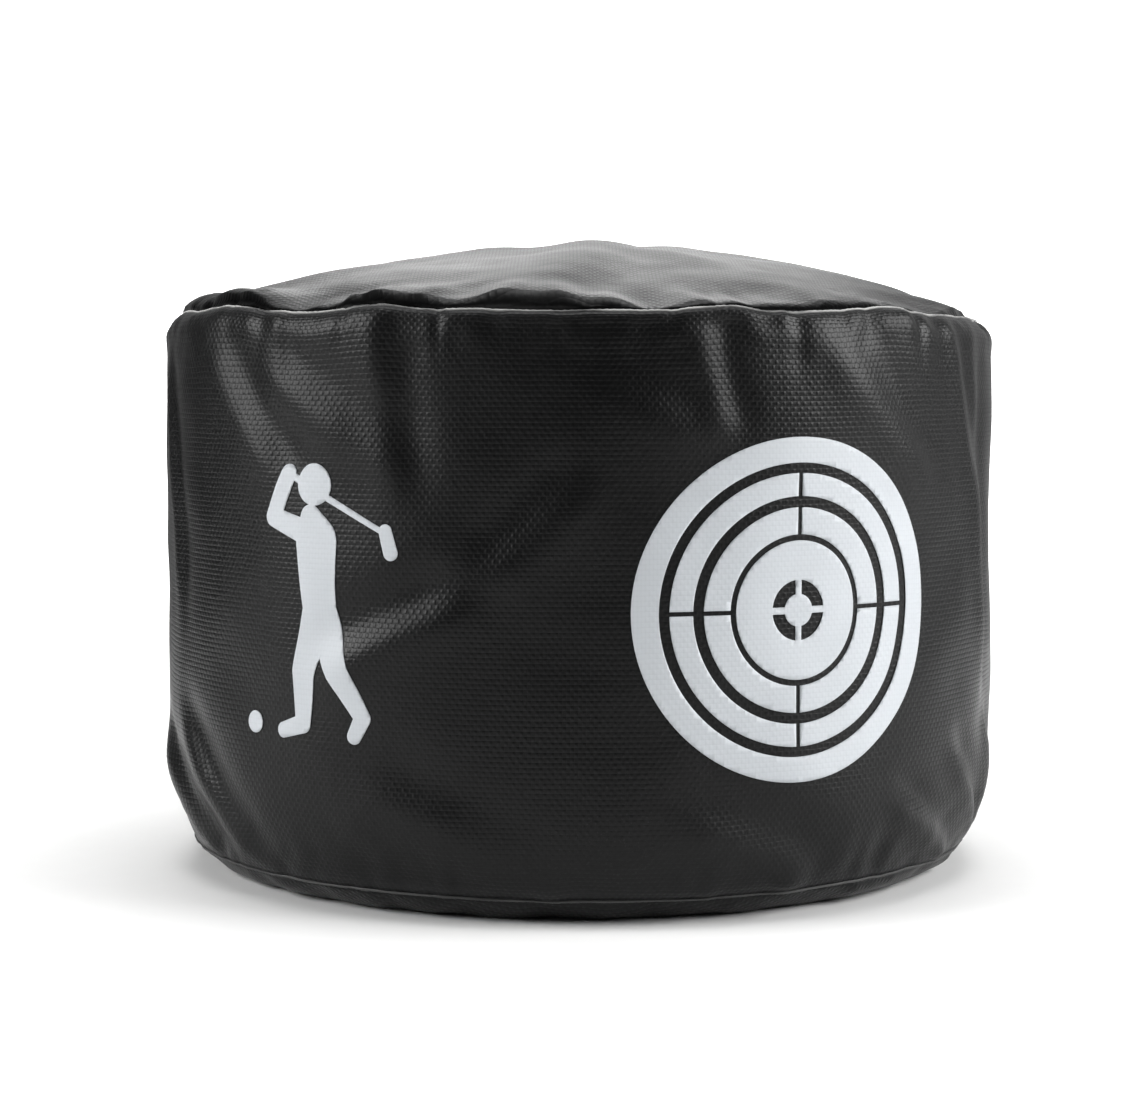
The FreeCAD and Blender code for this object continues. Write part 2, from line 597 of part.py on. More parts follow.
def build():
    back_start = BACK - BACK_HALF_SPAN
    back_span = 2 * BACK_HALF_SPAN
    front_start = BACK + BACK_HALF_SPAN
    parts = {
        "wall_front_panel": wall_panel(front_start, 360 - back_span),
        "wall_rear_lower_panel": wall_panel(back_start, back_span, high=ZIP_HEIGHT - ZIP_MOUTH),
        "wall_rear_upper_strip": wall_panel(back_start, back_span, low=ZIP_HEIGHT + ZIP_MOUTH),
        "top_panel": top_panel(),
        "base_panel": base_panel(),
        "top_seam_welt": top_welt(),
        "base_seam_welt": base_welt(),
        "top_seam_thread": top_thread(),
        "base_seam_thread": base_thread(),
        "rear_seam_right_lap": lap(-1),
        "rear_seam_left_lap": lap(1),
        "rear_seam_right_thread": lap_thread(-1),
        "rear_seam_left_thread": lap_thread(1),
        "zip_lower_tape": zip_tape(-1),
        "zip_upper_tape": zip_tape(1),
        "zip_lower_thread": zip_thread(-1),
        "zip_upper_thread": zip_thread(1),
        "zip_lower_teeth": zip_teeth(-1),
        "zip_upper_teeth": zip_teeth(1),
        "zip_closed_end_stops": closed_end_stops(),
        "zip_open_end_stop": open_end_stop(),
        "zip_right_end_patch": end_patch(-1),
        "zip_left_end_patch": end_patch(1),
        "zip_slider_body": placed(slider_body(), SLIDER_REST),
        "zip_pull_tab": placed(pull_tab(), SLIDER_REST),
        "target_print": pressed(target_faces(), TARGET_AZIMUTH, TARGET_HEIGHT),
        "golfer_print": pressed(golfer_faces(), GOLFER_AZIMUTH, GOLFER_HEIGHT),
        "filling_base_towel": soft_cylinder(*BASE_TOWEL, BASE_TOWEL_EDGE),
        "filling_crown_towel": crown_towel(),
    }
    for number in range(1, ROLL_COUNT + 2):
        parts[f"filling_roll_{number}"] = filling_roll(number)
    return parts


def main():
    os.makedirs("parts", exist_ok=True)
    for name, shape in build().items():
        shape.exportStep(f"parts/{name}.step")
        print(name, len(shape.Solids), shape.isValid(), round(shape.Volume))


main()
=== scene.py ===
"""A golf impact bag in a plain studio.

Its cloth, seams, prints, zip and filling are built round the bag's CAD frame."""

import functools
import math

import bmesh
import bpy
import numpy as np
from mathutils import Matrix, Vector, noise


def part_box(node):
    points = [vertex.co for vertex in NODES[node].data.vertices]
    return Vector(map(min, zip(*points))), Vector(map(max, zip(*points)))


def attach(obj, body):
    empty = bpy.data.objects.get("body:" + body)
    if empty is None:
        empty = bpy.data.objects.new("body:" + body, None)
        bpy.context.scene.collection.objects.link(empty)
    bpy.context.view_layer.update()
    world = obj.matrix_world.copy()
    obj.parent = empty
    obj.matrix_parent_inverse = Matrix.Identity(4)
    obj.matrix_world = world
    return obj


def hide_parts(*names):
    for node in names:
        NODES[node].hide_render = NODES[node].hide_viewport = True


bl_info = {
    "name": "Golf Impact Bag",
    "version": (1, 0, 0),
    "blender": (4, 5, 0),
    "location": "View3D > Sidebar > Impact Bag",
    "description": "Builds a packed, sewn golf impact bag around its frame",
    "category": "Add Mesh",
}

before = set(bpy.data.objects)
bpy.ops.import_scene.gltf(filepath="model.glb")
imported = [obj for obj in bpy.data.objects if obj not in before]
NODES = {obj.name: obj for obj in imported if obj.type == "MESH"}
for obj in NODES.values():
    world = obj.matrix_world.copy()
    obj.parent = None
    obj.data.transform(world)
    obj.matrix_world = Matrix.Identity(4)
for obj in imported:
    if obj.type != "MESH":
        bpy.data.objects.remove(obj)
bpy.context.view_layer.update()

# ---------------------------------------------------------------- sizes, in metres
# The drum, read from the frame.
WALL_LOW, WALL_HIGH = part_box("wall_front_panel")
WALL_RADIUS = max(WALL_HIGH.x, -WALL_LOW.y)
BASE_SEAM_Z = WALL_LOW.z
TOP_SEAM_Z = WALL_HIGH.z
APEX_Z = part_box("top_panel")[1].z
TOP_SEAM_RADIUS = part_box("top_panel")[1].x
BASE_SEAM_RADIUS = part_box("base_panel")[1].x
ZIP_Z = (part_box("zip_open_end_stop")[0].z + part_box("zip_open_end_stop")[1].z) / 2
ZIP_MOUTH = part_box("wall_rear_upper_strip")[0].z - ZIP_Z

MM = 0.001
CLOTH = 1.0 * MM
BEND_HEIGHT = 47.0 * MM
SHOULDER_HEIGHT = 11.0 * MM
ALLOWANCE = 12.0 * MM
TOP_ROLL_RADIUS = 3.0 * MM
TOP_ROLL_LIFT = 0.6 * MM
BASE_FLAT_RADIUS = 185.0 * MM
# How the base seam's allowance leans as it is turned in: share inward, share upward.
TURNED_IN, TURNED_UP = 0.77, 0.64

# Azimuths in degrees, counted to the right from the middle of the front.
BACK = 180.0
BACK_HALF_SPAN = 56.0
FRONT_HALF_SPAN = 180.0 - BACK_HALF_SPAN
LAP_HALF_SPAN = 1.6
LAP_STITCH_ASIDE = 1.2
TAPE_HALF_SPAN = 54.0
ZIP_STITCH_HALF_SPAN = 50.4
PATCH_STARTS = (("right", 125.8), ("left", 230.4))
PATCH_SPAN = 3.8
PATCH_STITCH_INSET = 0.7

# The size of a mesh's quads on the panels, and the step along seams and stitches.
COLUMN = 2.4 * MM
ROW = 2.6 * MM
SEAM_STEP = 1.6 * MM
PRINT_STEP = 3.2 * MM
# One stitch of a row, and one dip that a stitch draws in a welt.
STITCH_PITCH = 3.6 * MM
STITCH_THICKNESS = 0.8 * MM
WELT_DIP = 3.5 * MM

SEED = 11


# ---------------------------------------------------------------- profiles
def arc_from_rise(depth, height):
    """Radius and angle of an arc that leaves a line smoothly and is depth off it after height."""
    radius = (depth**2 + height**2) / (2 * depth)
    return radius, math.asin(height / radius)


BEND_RADIUS, BEND_ANGLE = arc_from_rise(WALL_RADIUS - BASE_SEAM_RADIUS, BEND_HEIGHT)
SHOULDER_RADIUS, SHOULDER_ANGLE = arc_from_rise(WALL_RADIUS - TOP_SEAM_RADIUS, SHOULDER_HEIGHT)
BEND_RUN = BEND_RADIUS * BEND_ANGLE
STRAIGHT_RUN = TOP_SEAM_Z - BASE_SEAM_Z - BEND_HEIGHT - SHOULDER_HEIGHT
WALL_RUN = BEND_RUN + STRAIGHT_RUN + SHOULDER_RADIUS * SHOULDER_ANGLE
# Added to a height on the straight of the wall, this gives its run of cloth.
HEIGHT_TO_RUN = BEND_RUN - BASE_SEAM_Z - BEND_HEIGHT


def wall_profile(run):
    """Radius, height and outward normal of the wall, run metres of cloth above the base seam."""
    low = np.clip(run, 0, BEND_RUN) / BEND_RADIUS - BEND_ANGLE
    high = np.clip(run - BEND_RUN - STRAIGHT_RUN, 0, None) / SHOULDER_RADIUS
    radius = WALL_RADIUS - BEND_RADIUS * (1 - np.cos(low)) - SHOULDER_RADIUS * (1 - np.cos(high))
    height = BASE_SEAM_Z + BEND_HEIGHT + BEND_RADIUS * np.sin(low) + SHOULDER_RADIUS * np.sin(high)
    height = height + np.clip(run - BEND_RUN, 0, STRAIGHT_RUN)
    angle = low + high
    return radius, height, np.cos(angle), np.sin(angle)


ROLL_CENTRE_RADIUS = TOP_SEAM_RADIUS - TOP_ROLL_RADIUS
DOME_RISE = APEX_Z - TOP_SEAM_Z - TOP_ROLL_LIFT
DOME_RADIUS = (DOME_RISE**2 + ROLL_CENTRE_RADIUS**2 - TOP_ROLL_RADIUS**2) / (2 * (DOME_RISE - TOP_ROLL_RADIUS))
DOME_CENTRE_Z = APEX_Z - DOME_RADIUS
ROLL_ANGLE = math.atan2(TOP_SEAM_Z + TOP_ROLL_LIFT - DOME_CENTRE_Z, ROLL_CENTRE_RADIUS)
ROLL_RUN = TOP_ROLL_RADIUS * ROLL_ANGLE
TOP_RUN = TOP_ROLL_LIFT + ROLL_RUN + DOME_RADIUS * (math.pi / 2 - ROLL_ANGLE)


def top_profile(run):
    """The top panel's profile, run metres of cloth in from its seam."""
    lift = np.clip(run, 0, TOP_ROLL_LIFT)
    roll = np.clip(run - TOP_ROLL_LIFT, 0, ROLL_RUN) / TOP_ROLL_RADIUS
    dome = np.clip(run - TOP_ROLL_LIFT - ROLL_RUN, 0, None) / DOME_RADIUS
    angle = roll + dome
    on_roll_r = ROLL_CENTRE_RADIUS + TOP_ROLL_RADIUS * np.cos(roll)
    on_roll_z = TOP_SEAM_Z + lift + TOP_ROLL_RADIUS * np.sin(roll)
    on_dome = dome > 0
    radius = np.where(on_dome, DOME_RADIUS * np.cos(angle), on_roll_r)
    height = np.where(on_dome, DOME_CENTRE_Z + DOME_RADIUS * np.sin(angle), on_roll_z)
    return radius, height, np.cos(angle), np.sin(angle)


BASE_DEPTH = BASE_SEAM_RADIUS - BASE_FLAT_RADIUS
BASE_CURVE_RADIUS = (BASE_DEPTH**2 + BASE_SEAM_Z**2) / (2 * BASE_SEAM_Z)
BASE_CURVE_ANGLE = math.asin(BASE_DEPTH / BASE_CURVE_RADIUS)
BASE_CURVE_RUN = BASE_CURVE_RADIUS * BASE_CURVE_ANGLE
BASE_RUN = BASE_CURVE_RUN + BASE_FLAT_RADIUS


def base_profile(run):
    """The base panel's profile, run metres of cloth in from its seam."""
    angle = BASE_CURVE_ANGLE - np.clip(run, 0, BASE_CURVE_RUN) / BASE_CURVE_RADIUS
    flat = np.clip(run - BASE_CURVE_RUN, 0, None)
    radius = BASE_FLAT_RADIUS + BASE_CURVE_RADIUS * np.sin(angle) - flat
    height = BASE_CURVE_RADIUS * (1 - np.cos(angle))
    return radius, height, np.sin(angle), -np.cos(angle)


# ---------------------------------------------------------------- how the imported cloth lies
def smooth(low, high, value):
    t = np.clip((value - low) / (high - low), 0, 1)
    return t * t * (3 - 2 * t)


def turn_between(a, b):
    """The signed turn from b to a, in degrees, from -180 to 180."""
    return (a - b + 180) % 360 - 180


def bell(value, width):
    return np.exp(-((value / width) ** 2))


def lumps(points, size, seed):
    """Smooth noise of about 1 each way, with lumps of that size, at an array of points."""
    flat = points.reshape(-1, 3) / size + seed * 7.3
    return np.array([noise.noise(p) for p in flat]).reshape(points.shape[:-1]) * 1.8


def around(azimuth, radius, height):
    """Points at an azimuth from the front, a radius and a height."""
    angle, radius, height = np.broadcast_arrays(np.radians(azimuth), radius, height)
    return np.stack([radius * np.sin(angle), -radius * np.cos(angle), height], -1)


# Where the top seam rides up: azimuth, half width in degrees, lift in millimetres.
SEAM_LIFTS = (
    (-72, 7, 3.0), (-54, 9, 4.5), (-26, 6, 3.2), (-13, 5, 0.8), (12, 5, 0.8), (18, 4, 2.6), (42, 8, 3.0),
    (78, 8, -2.0), (100, 9, 2.2), (128, 8, -1.5), (160, 10, 1.2), (195, 9, -1.2), (230, 9, 1.8), (262, 8, 2.4),
)
# Where the top panel stands up steeply behind the seam: azimuth, half width in degrees, share of the full step.
GAPS = (
    (-58, 6.5, 0.8), (-50, 5, 0.9), (-27, 4.2, 0.9), (-21, 4, 1.0), (-9.5, 4.2, 1.0), (-3, 4.5, 1.1),
    (3.5, 3, 0.8), (14, 3, 0.4), (33, 3, 0.25), (66, 6, 0.7), (95, 7, 0.7), (118, 6, 0.9),
    (146, 8, 0.7), (180, 9, 0.6), (214, 7, 0.9), (240, 6, 0.7), (268, 7, 0.9),
)
GAP_STEP = 4.2 * MM
# Folds pulled across the wall: azimuth and height of both ends, half width and depth in millimetres.
WALL_FOLDS = (
    ((-53, 266), (-41, 217), 14, 2.3), ((-42, 262), (-25, 226), 15, 1.8), ((-33, 126), (-17, 153), 14, 2.6),
    ((-11, 171), (-1, 208), 15, 2.2), ((-25, 282), (-22, 210), 13, 1.8), ((15, 280), (18, 236), 10, 1.7),
    ((34, 274), (50, 212), 16, 2.4), ((58, 276), (64, 214), 10, 2.0),
    ((-72, 250), (-68, 150), 11, 2.0), ((66, 250), (70, 120), 12, 2.2), ((4, 258), (14, 236), 14, 1.2),
    ((-78, 68), (-60, 26), 11, 3.4), ((-64, 80), (-48, 24), 11, 2.6), ((60, 66), (73, 26), 11, 3.4),
    ((74, 74), (80, 22), 10, 3.4), ((46, 52), (60, 22), 9, 2.4), ((-24, 66), (-8, 36), 16, 1.6),
    ((14, 52), (30, 28), 14, 1.8), ((96, 240), (110, 150), 16, 2.6), ((-104, 230), (-90, 150), 15, 2.4),
    ((104, 120), (122, 60), 15, 2.6), ((-122, 110), (-100, 56), 16, 2.6), ((150, 150), (170, 90), 18, 2.4),
    ((-165, 160), (-148, 90), 18, 2.4), ((176, 70), (190, 30), 14, 2.0),
)
# Ridges that run up the top panel from its rim: azimuth, lean across the panel, height in millimetres.
TOP_RIDGES = (
    (-9, 26, 3.4), (38, -12, 1.6), (-62, 10, 1.8), (88, 16, 2.2), (142, -14, 2.2), (205, 12, 2.4), (262, -10, 2.0),
)


def pucker_set(count, seed, widths, lengths, depths):
    """Short folds at random places round a seam: azimuth, half width, length and depth of each."""
    rng = np.random.default_rng(SEED + seed)
    spread = (np.arange(count) + rng.uniform(-0.45, 0.45, count)) * 360 / count
    share = rng.uniform(0, 1, (3, count)) ** np.array([[1.2], [1.6], [1.7]])
    low, high = np.array([widths, lengths, depths]).T[:, :, None]
    width, length, depth = (low + (high - low) * share) * MM
    return spread, width, length, depth * rng.choice((-1, 1), count, p=(0.65, 0.35))


TOP_PUCKERS = pucker_set(86, 1, (2.4, 8), (9, 46), (0.3, 2.4))
BASE_PUCKERS = pucker_set(78, 2, (3, 10), (9, 44), (0.4, 3.0))
CROWN_PUCKERS = pucker_set(84, 3, (2.6, 9), (10, 52), (0.3, 2.6))
UNDER_PUCKERS = pucker_set(70, 4, (3, 9), (8, 34), (0.3, 1.6))


def puckers(azimuth, radius, distance, folds):
    """Depth of a set of puckers at a distance of cloth from their seam."""
    depth = np.zeros(np.broadcast(azimuth, distance).shape)
    for place, width, length, size in zip(*folds):
        across = np.radians(turn_between(azimuth, place)) * radius / width
        fold = np.exp(-(across**2)) * (1 - 0.7 * across)
        depth = depth + size * fold * np.clip(1 - distance / length, 0, 1) ** 1.4
    return depth


def fold_lines(azimuth, height, folds):
    """Depth of long folds, each a crest beside a hollow, along its own line."""
    depth = np.zeros(np.broadcast(azimuth, height).shape)
    for (a0, z0), (a1, z1), width, size in folds:
        x = np.radians(turn_between(azimuth, a0)) * WALL_RADIUS / MM
        y = height / MM - z0
        dx, dy = math.radians(a1 - a0) * WALL_RADIUS / MM, z1 - z0
        length = math.hypot(dx, dy)
        along = (x * dx + y * dy) / length
        across = (x * dy - y * dx) / length / width
        ends = smooth(-0.35 * length, 0.15 * length, along) * smooth(1.35 * length, 0.85 * length, along)
        depth = depth + size * MM * across * np.exp(0.5 - across**2) * ends * 1.2
    return depth


def seam_lift(azimuth):
    """How far the top seam rides up or sags."""
    lift = sum(size * bell(turn_between(azimuth, place), width) for place, width, size in SEAM_LIFTS)
    return lift * MM


def front_fullness(azimuth):
    """How much further out the top seam sits across the front, where the towels press it."""
    return 6.0 * MM * bell(turn_between(azimuth, 0), 50) ** 1.3


def zip_calm(azimuth, height):
    """1 away from the zip and 0 beside it, where its tapes hold the wall in shape."""
    beside = smooth(BACK_HALF_SPAN + 6, BACK_HALF_SPAN, np.abs(turn_between(azimuth, BACK)))
    return 1 - beside * smooth(34 * MM, 17 * MM, np.abs(height - ZIP_Z))


def wall_points(azimuth, run, out=0.0):
    """The wall's outer face, pushed out by the filling and pulled in by its seams."""
    azimuth, run = np.broadcast_arrays(azimuth, run)
    radius, height, normal_r, normal_z = wall_profile(np.clip(run, 0, WALL_RUN))
    place = around(azimuth, radius, height)
    to_top, to_base = WALL_RUN - run, run
    near_seam = np.maximum(smooth(40 * MM, 8 * MM, to_top), smooth(46 * MM, 8 * MM, to_base))
    depth = 1.5 * MM * lumps(place, 95 * MM, 1) + 0.55 * MM * lumps(place, 34 * MM, 2)
    depth += 0.5 * MM * near_seam * lumps(place, 12 * MM, 3)
    depth += puckers(azimuth, WALL_RADIUS, to_top, TOP_PUCKERS)
    depth += puckers(azimuth, WALL_RADIUS, to_base, BASE_PUCKERS)
    depth += fold_lines(azimuth, height, WALL_FOLDS)
    held = smooth(0, 7 * MM, to_top) * 0.8 + 0.2
    held = np.minimum(held, smooth(0, 7 * MM, to_base) * 0.8 + 0.2)
    depth *= held * zip_calm(azimuth, height)
    lift = seam_lift(azimuth) * smooth(TOP_SEAM_Z - 46 * MM, TOP_SEAM_Z - 4 * MM, height) * zip_calm(azimuth, height)
    # the seam allowances, turned in towards the filling
    turned_top = np.clip(run - WALL_RUN, 0, None)
    turned_base = np.clip(-run, 0, None)
    full = front_fullness(azimuth) * smooth(13 * MM, 0, to_top)
    depth = depth + out
    return around(azimuth, radius + depth * normal_r + full - turned_top - TURNED_IN * turned_base,
                  height + depth * normal_z + lift + TURNED_UP * turned_base)


def top_points(azimuth, run, out=0.0):
    """The top panel's outer face: puckered at its rim and tented over the towels."""
    azimuth, run = np.broadcast_arrays(azimuth, run)
    radius, height, normal_r, normal_z = top_profile(np.clip(run, 0, TOP_RUN))
    place = around(azimuth, radius, height)
    inner = radius / TOP_SEAM_RADIUS
    depth = 1.4 * MM * lumps(place, 80 * MM, 4) * smooth(0, 0.3, inner)
    depth += 0.5 * MM * lumps(place, 26 * MM, 5) + 0.4 * MM * smooth(0.8, 1, inner) * lumps(place, 11 * MM, 6)
    depth += puckers(azimuth, TOP_SEAM_RADIUS, run, CROWN_PUCKERS)
    for centre, lean, size in TOP_RIDGES:
        across = np.radians(turn_between(azimuth, centre + lean * (1 - inner))) * radius / (22 * MM)
        span = smooth(0.02, 0.3, inner) * smooth(1.02, 0.8, inner)
        depth += size * MM * span * np.exp(-(across**2)) * (1 - 0.6 * across)
    gaps = sum(size * bell(turn_between(azimuth, centre), width) ** 1.6 for centre, width, size in GAPS)
    gap = np.clip(gaps, 0, 1.15)
    step = gap * GAP_STEP * smooth(1.2 * MM, 4.6 * MM, run) * smooth(46 * MM, 9 * MM, run)
    under = gap * 2.2 * MM * bell(run - 2.6 * MM, 1.9 * MM)
    # the right side is packed less than the left
    slack = bell(turn_between(azimuth, 86), 42) * bell(inner - 0.97, 0.13)
    height = height - 3.5 * MM * slack
    puffed = bell(turn_between(azimuth, -84), 34) * bell(run - 13 * MM, 11 * MM)
    height = height + 3.6 * MM * puffed
    depth *= smooth(-4 * MM, 6 * MM, run)
    lift = seam_lift(azimuth) * smooth(36 * MM, 2 * MM, run)
    depth = depth + out
    turned = np.clip(-run, 0, None)
    full = front_fullness(azimuth) * smooth(28 * MM, 0, run)
    return around(azimuth, radius + depth * normal_r + full - under - turned, height + depth * normal_z + step + lift)


def base_points(azimuth, run, out=0.0):
    """The base panel's outer face, flat on the floor and puckered where it curves up to its seam."""
    azimuth, run = np.broadcast_arrays(azimuth, run)
    radius, height, normal_r, normal_z = base_profile(np.clip(run, 0, BASE_RUN))
    place = around(azimuth, radius, height)
    free = smooth(34 * MM, 12 * MM, run) * (smooth(0, 6 * MM, run) * 0.8 + 0.2)
    depth = free * (0.8 * MM * lumps(place, 22 * MM, 7) + puckers(azimuth, BASE_SEAM_RADIUS, run, UNDER_PUCKERS))
    # the middle stands a little off the floor, where the towel on it is folded
    rise = 1.2 * MM * smooth(150 * MM, 40 * MM, radius) * (1 + lumps(place, 60 * MM, 8)) * 0.5
    turned = np.clip(-run, 0, None)
    depth = depth + out
    up = np.maximum(height + depth * normal_z + rise, 0.0) + TURNED_UP * turned
    return around(azimuth, radius + depth * normal_r - TURNED_IN * turned, up)


# ---------------------------------------------------------------- meshes
def new_object(name, mesh, body, slot_name, *nodes):
    """Links a piece to the scene, rides it on its body and lets it stand for its CAD nodes."""
    piece = bpy.data.objects.new(name, mesh)
    bpy.context.scene.collection.objects.link(piece)
    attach(piece, body)
    if nodes:
        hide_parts(*nodes)
    return piece


def shade_smooth(mesh):
    mesh.polygons.foreach_set("use_smooth", [True] * len(mesh.polygons))


def mesh_of(name, points, faces):
    mesh = bpy.data.meshes.new(name)
    mesh.from_pydata(np.asarray(points).reshape(-1, 3).tolist(), [], faces)
    mesh.validate()
    shade_smooth(mesh)
    mesh.update()
    return mesh


def grid_faces(rows, columns, closed):
    """Quads of a grid of rows by columns, joined round if it is closed."""
    faces = []
    for here in range(0, (rows - 1) * columns, columns):
        there = here + columns
        for c in range(columns if closed else columns - 1):
            beside = (c + 1) % columns
            faces.append((here + c, here + beside, there + beside, there + c))
    return faces


def flat_places(azimuth, run):
    """Places on the flat cloth of the wall, in metres, one for each vertex."""
    return np.stack(np.broadcast_arrays(np.radians(azimuth) * WALL_RADIUS, run), -1).reshape(-1, 2)


def flat_map(mesh, coordinates):
    """Stores each vertex's place on the flat cloth as the UV map that the weave follows."""
    layer = mesh.uv_layers.new(name="cloth")
    corners = np.zeros(len(mesh.loops), int)
    mesh.loops.foreach_get("vertex_index", corners)
    layer.data.foreach_set("uv", np.asarray(coordinates, np.float32)[corners].ravel())


def mark(mesh, name, values):
    """Stores a value from 0 to 1 on each vertex."""
    layer = mesh.attributes.new(name, "FLOAT", "POINT")
    layer.data.foreach_set("value", np.clip(np.asarray(values, np.float32).ravel(), 0, 1))


def thicken(piece, thickness):
    """Gives a sheet its thickness, inward from its outer face."""
    solid = piece.modifiers.new("thickness", "SOLIDIFY")
    solid.thickness = thickness
    solid.offset = -1.0


def wall_cloth(name, low, high, first, last, node):
    """A panel of the wall between two azimuths and two runs of cloth, outer face out."""
    width, height = math.radians(last - first) * WALL_RADIUS, high - low
    columns, rows = int(width / COLUMN) + 2, int(height / ROW) + 2
    azimuth = np.linspace(first, last, columns)[None, :]
    run = np.linspace(low, high, rows)[:, None]
    mesh = mesh_of(name, wall_points(azimuth, run), grid_faces(rows, columns, False))
    flat_map(mesh, flat_places(azimuth, run))
    seam = np.maximum(bell(run - WALL_RUN, 4 * MM), bell(run, 6 * MM))
    mark(mesh, "wear_and_highlight", np.broadcast_to(seam, (rows, columns)))
    piece = new_object(name, mesh, "bag", "coated_mesh", node)
    thicken(piece, CLOTH)
    mesh.materials.append(cloth_material())


def disc_cloth(name, surface, run_length, radius, node, facing_up):
    """The round top or base: rings of quads with a small fan of triangles at the middle."""
    columns = int(2 * math.pi * radius / COLUMN)
    turned_in = np.linspace(-ALLOWANCE, 0, 4)[:-1]
    runs = np.concatenate([turned_in, np.linspace(0, run_length, int(run_length / ROW))[:-1]])
    azimuth = np.linspace(0, 360, columns, endpoint=False)[None, :]
    points = surface(azimuth, runs[:, None]).reshape(-1, 3)
    middle = surface(np.zeros(1), np.array([run_length]))
    middle[0, :2] = 0
    points = np.concatenate([points, middle])
    faces = grid_faces(len(runs), columns, True)
    tip, ring = len(points) - 1, (len(runs) - 1) * columns
    faces += [(ring + c, ring + (c + 1) % columns, tip) for c in range(columns)]
    if not facing_up:
        faces = [tuple(reversed(f)) for f in faces]
    mesh = mesh_of(name, points, faces)
    flat_map(mesh, points[:, :2])
    mark(mesh, "wear_and_highlight", np.append(np.repeat(bell(runs - 9 * MM, 7 * MM) * 0.6, columns), 0.0))
    piece = new_object(name, mesh, "bag", "coated_mesh", node)
    thicken(piece, CLOTH)
    mesh.materials.append(cloth_material())


# ---------------------------------------------------------------- seams, tapes and small parts
def path_on_wall(azimuth, run, out):
    """Places on the wall, out metres off it, and the way out at each."""
    place = wall_points(azimuth, run, out)
    return place, (wall_points(azimuth, run, out + MM) - place) / MM


def seam_path(run, out=0.0, first=0.0, last=360.0):
    """A path along the wall at one run of cloth."""
    count = int(math.radians(last - first) * WALL_RADIUS / SEAM_STEP)
    return path_on_wall(np.linspace(first, last, count, endpoint=last - first < 360), run, out)


def climb_path(azimuth, low, high, out):
    """A path up the wall at one azimuth."""
    return path_on_wall(azimuth, np.linspace(low, high, int((high - low) / SEAM_STEP)), out)


def unit(vectors):
    return vectors / np.linalg.norm(vectors, axis=-1, keepdims=True)


def tube_faces(rings, sides, closed):
    """Faces of a tube of rings, joined end to end or capped."""
    faces = []
    for r in range(rings if closed else rings - 1):
        here, there = r * sides, (r + 1) % rings * sides
        faces += [(here + k, here + (k + 1) % sides, there + (k + 1) % sides, there + k) for k in range(sides)]
    if not closed:
        faces += [tuple(reversed(range(sides))), tuple(range((rings - 1) * sides, rings * sides))]
    return faces


def welt(name, run, lean, size, node):
    """The rounded lip of cloth that stands out all round a seam, drawn in a little at each stitch."""
    place, out = seam_path(run, -0.1 * MM)
    along = unit(np.roll(place, -1, 0) - np.roll(place, 1, 0))
    out = unit(out + np.array([0, 0, lean]))
    up = np.cross(out, along)
    count, sides = len(place), 10
    rng = np.random.default_rng(SEED + 20)
    dips = 0.10 * np.sin(np.arange(count) * SEAM_STEP / WELT_DIP * 2 * math.pi)
    swell = 1 + dips + np.convolve(rng.normal(0, 0.35, count), np.ones(9) / 9, "same")
    turn = np.arange(sides) / sides * 2 * math.pi
    ring = np.cos(turn)[:, None] * out[:, None] + 0.85 * np.sin(turn)[:, None] * up[:, None]
    points = place[:, None] + size * swell[:, None, None] * ring
    mesh = mesh_of(name, points, tube_faces(count, sides, True))
    # how far each point of the lip faces out, which places the painted highlight on its crest
    mark(mesh, "wear_and_highlight", np.tile(np.cos(turn), count))
    mesh.materials.append(welt_material())
    new_object(name, mesh, "bag", "welt", node)


def stitch_row(place, out):
    """Points and faces of a row of stitches that dive into the cloth at both ends."""
    steps = np.linalg.norm(np.diff(place, axis=0), axis=1)
    length = np.concatenate([[0], np.cumsum(steps)])
    count = int(length[-1] / STITCH_PITCH)
    t = np.array([0.06, 0.16, 0.34, 0.5, 0.66, 0.84, 0.94])
    at = (np.arange(count)[:, None] + t[None]) * STITCH_PITCH
    centre, way = (np.stack([np.interp(at, length, line[:, k]) for k in range(3)], -1) for line in (place, out))
    way = unit(way)
    along = unit(centre[:, -1:] - centre[:, :1])
    side = np.cross(along, way)
    rise = (np.sin(t * math.pi) ** 0.6)[None, :, None]
    centre = centre + way * STITCH_THICKNESS * (rise - 0.75)
    sides = 6
    turn = (np.arange(sides) / sides * 2 * math.pi)[:, None]
    reach = STITCH_THICKNESS / 2 * (0.45 + 0.55 * rise)[..., None]
    ring = centre[:, :, None] + reach * (np.cos(turn) * way[:, :, None] + np.sin(turn) * side[:, :, None])
    one = tube_faces(len(t), sides, False)
    size = len(t) * sides
    faces = [tuple(i * size + k for k in face) for i in range(count) for face in one]
    return ring.reshape(-1, 3), faces


def stitching(name, rows, *nodes):
    """One piece made of several rows of stitches."""
    points, faces, start = [], [], 0
    for place, out in rows:
        some, more = stitch_row(place, out)
        points.append(some)
        faces += [tuple(start + k for k in face) for face in more]
        start += len(some)
    mesh = mesh_of(name, np.concatenate(points), faces)
    mesh.materials.append(thread_material())
    new_object(name, mesh, "bag", "thread", *nodes)


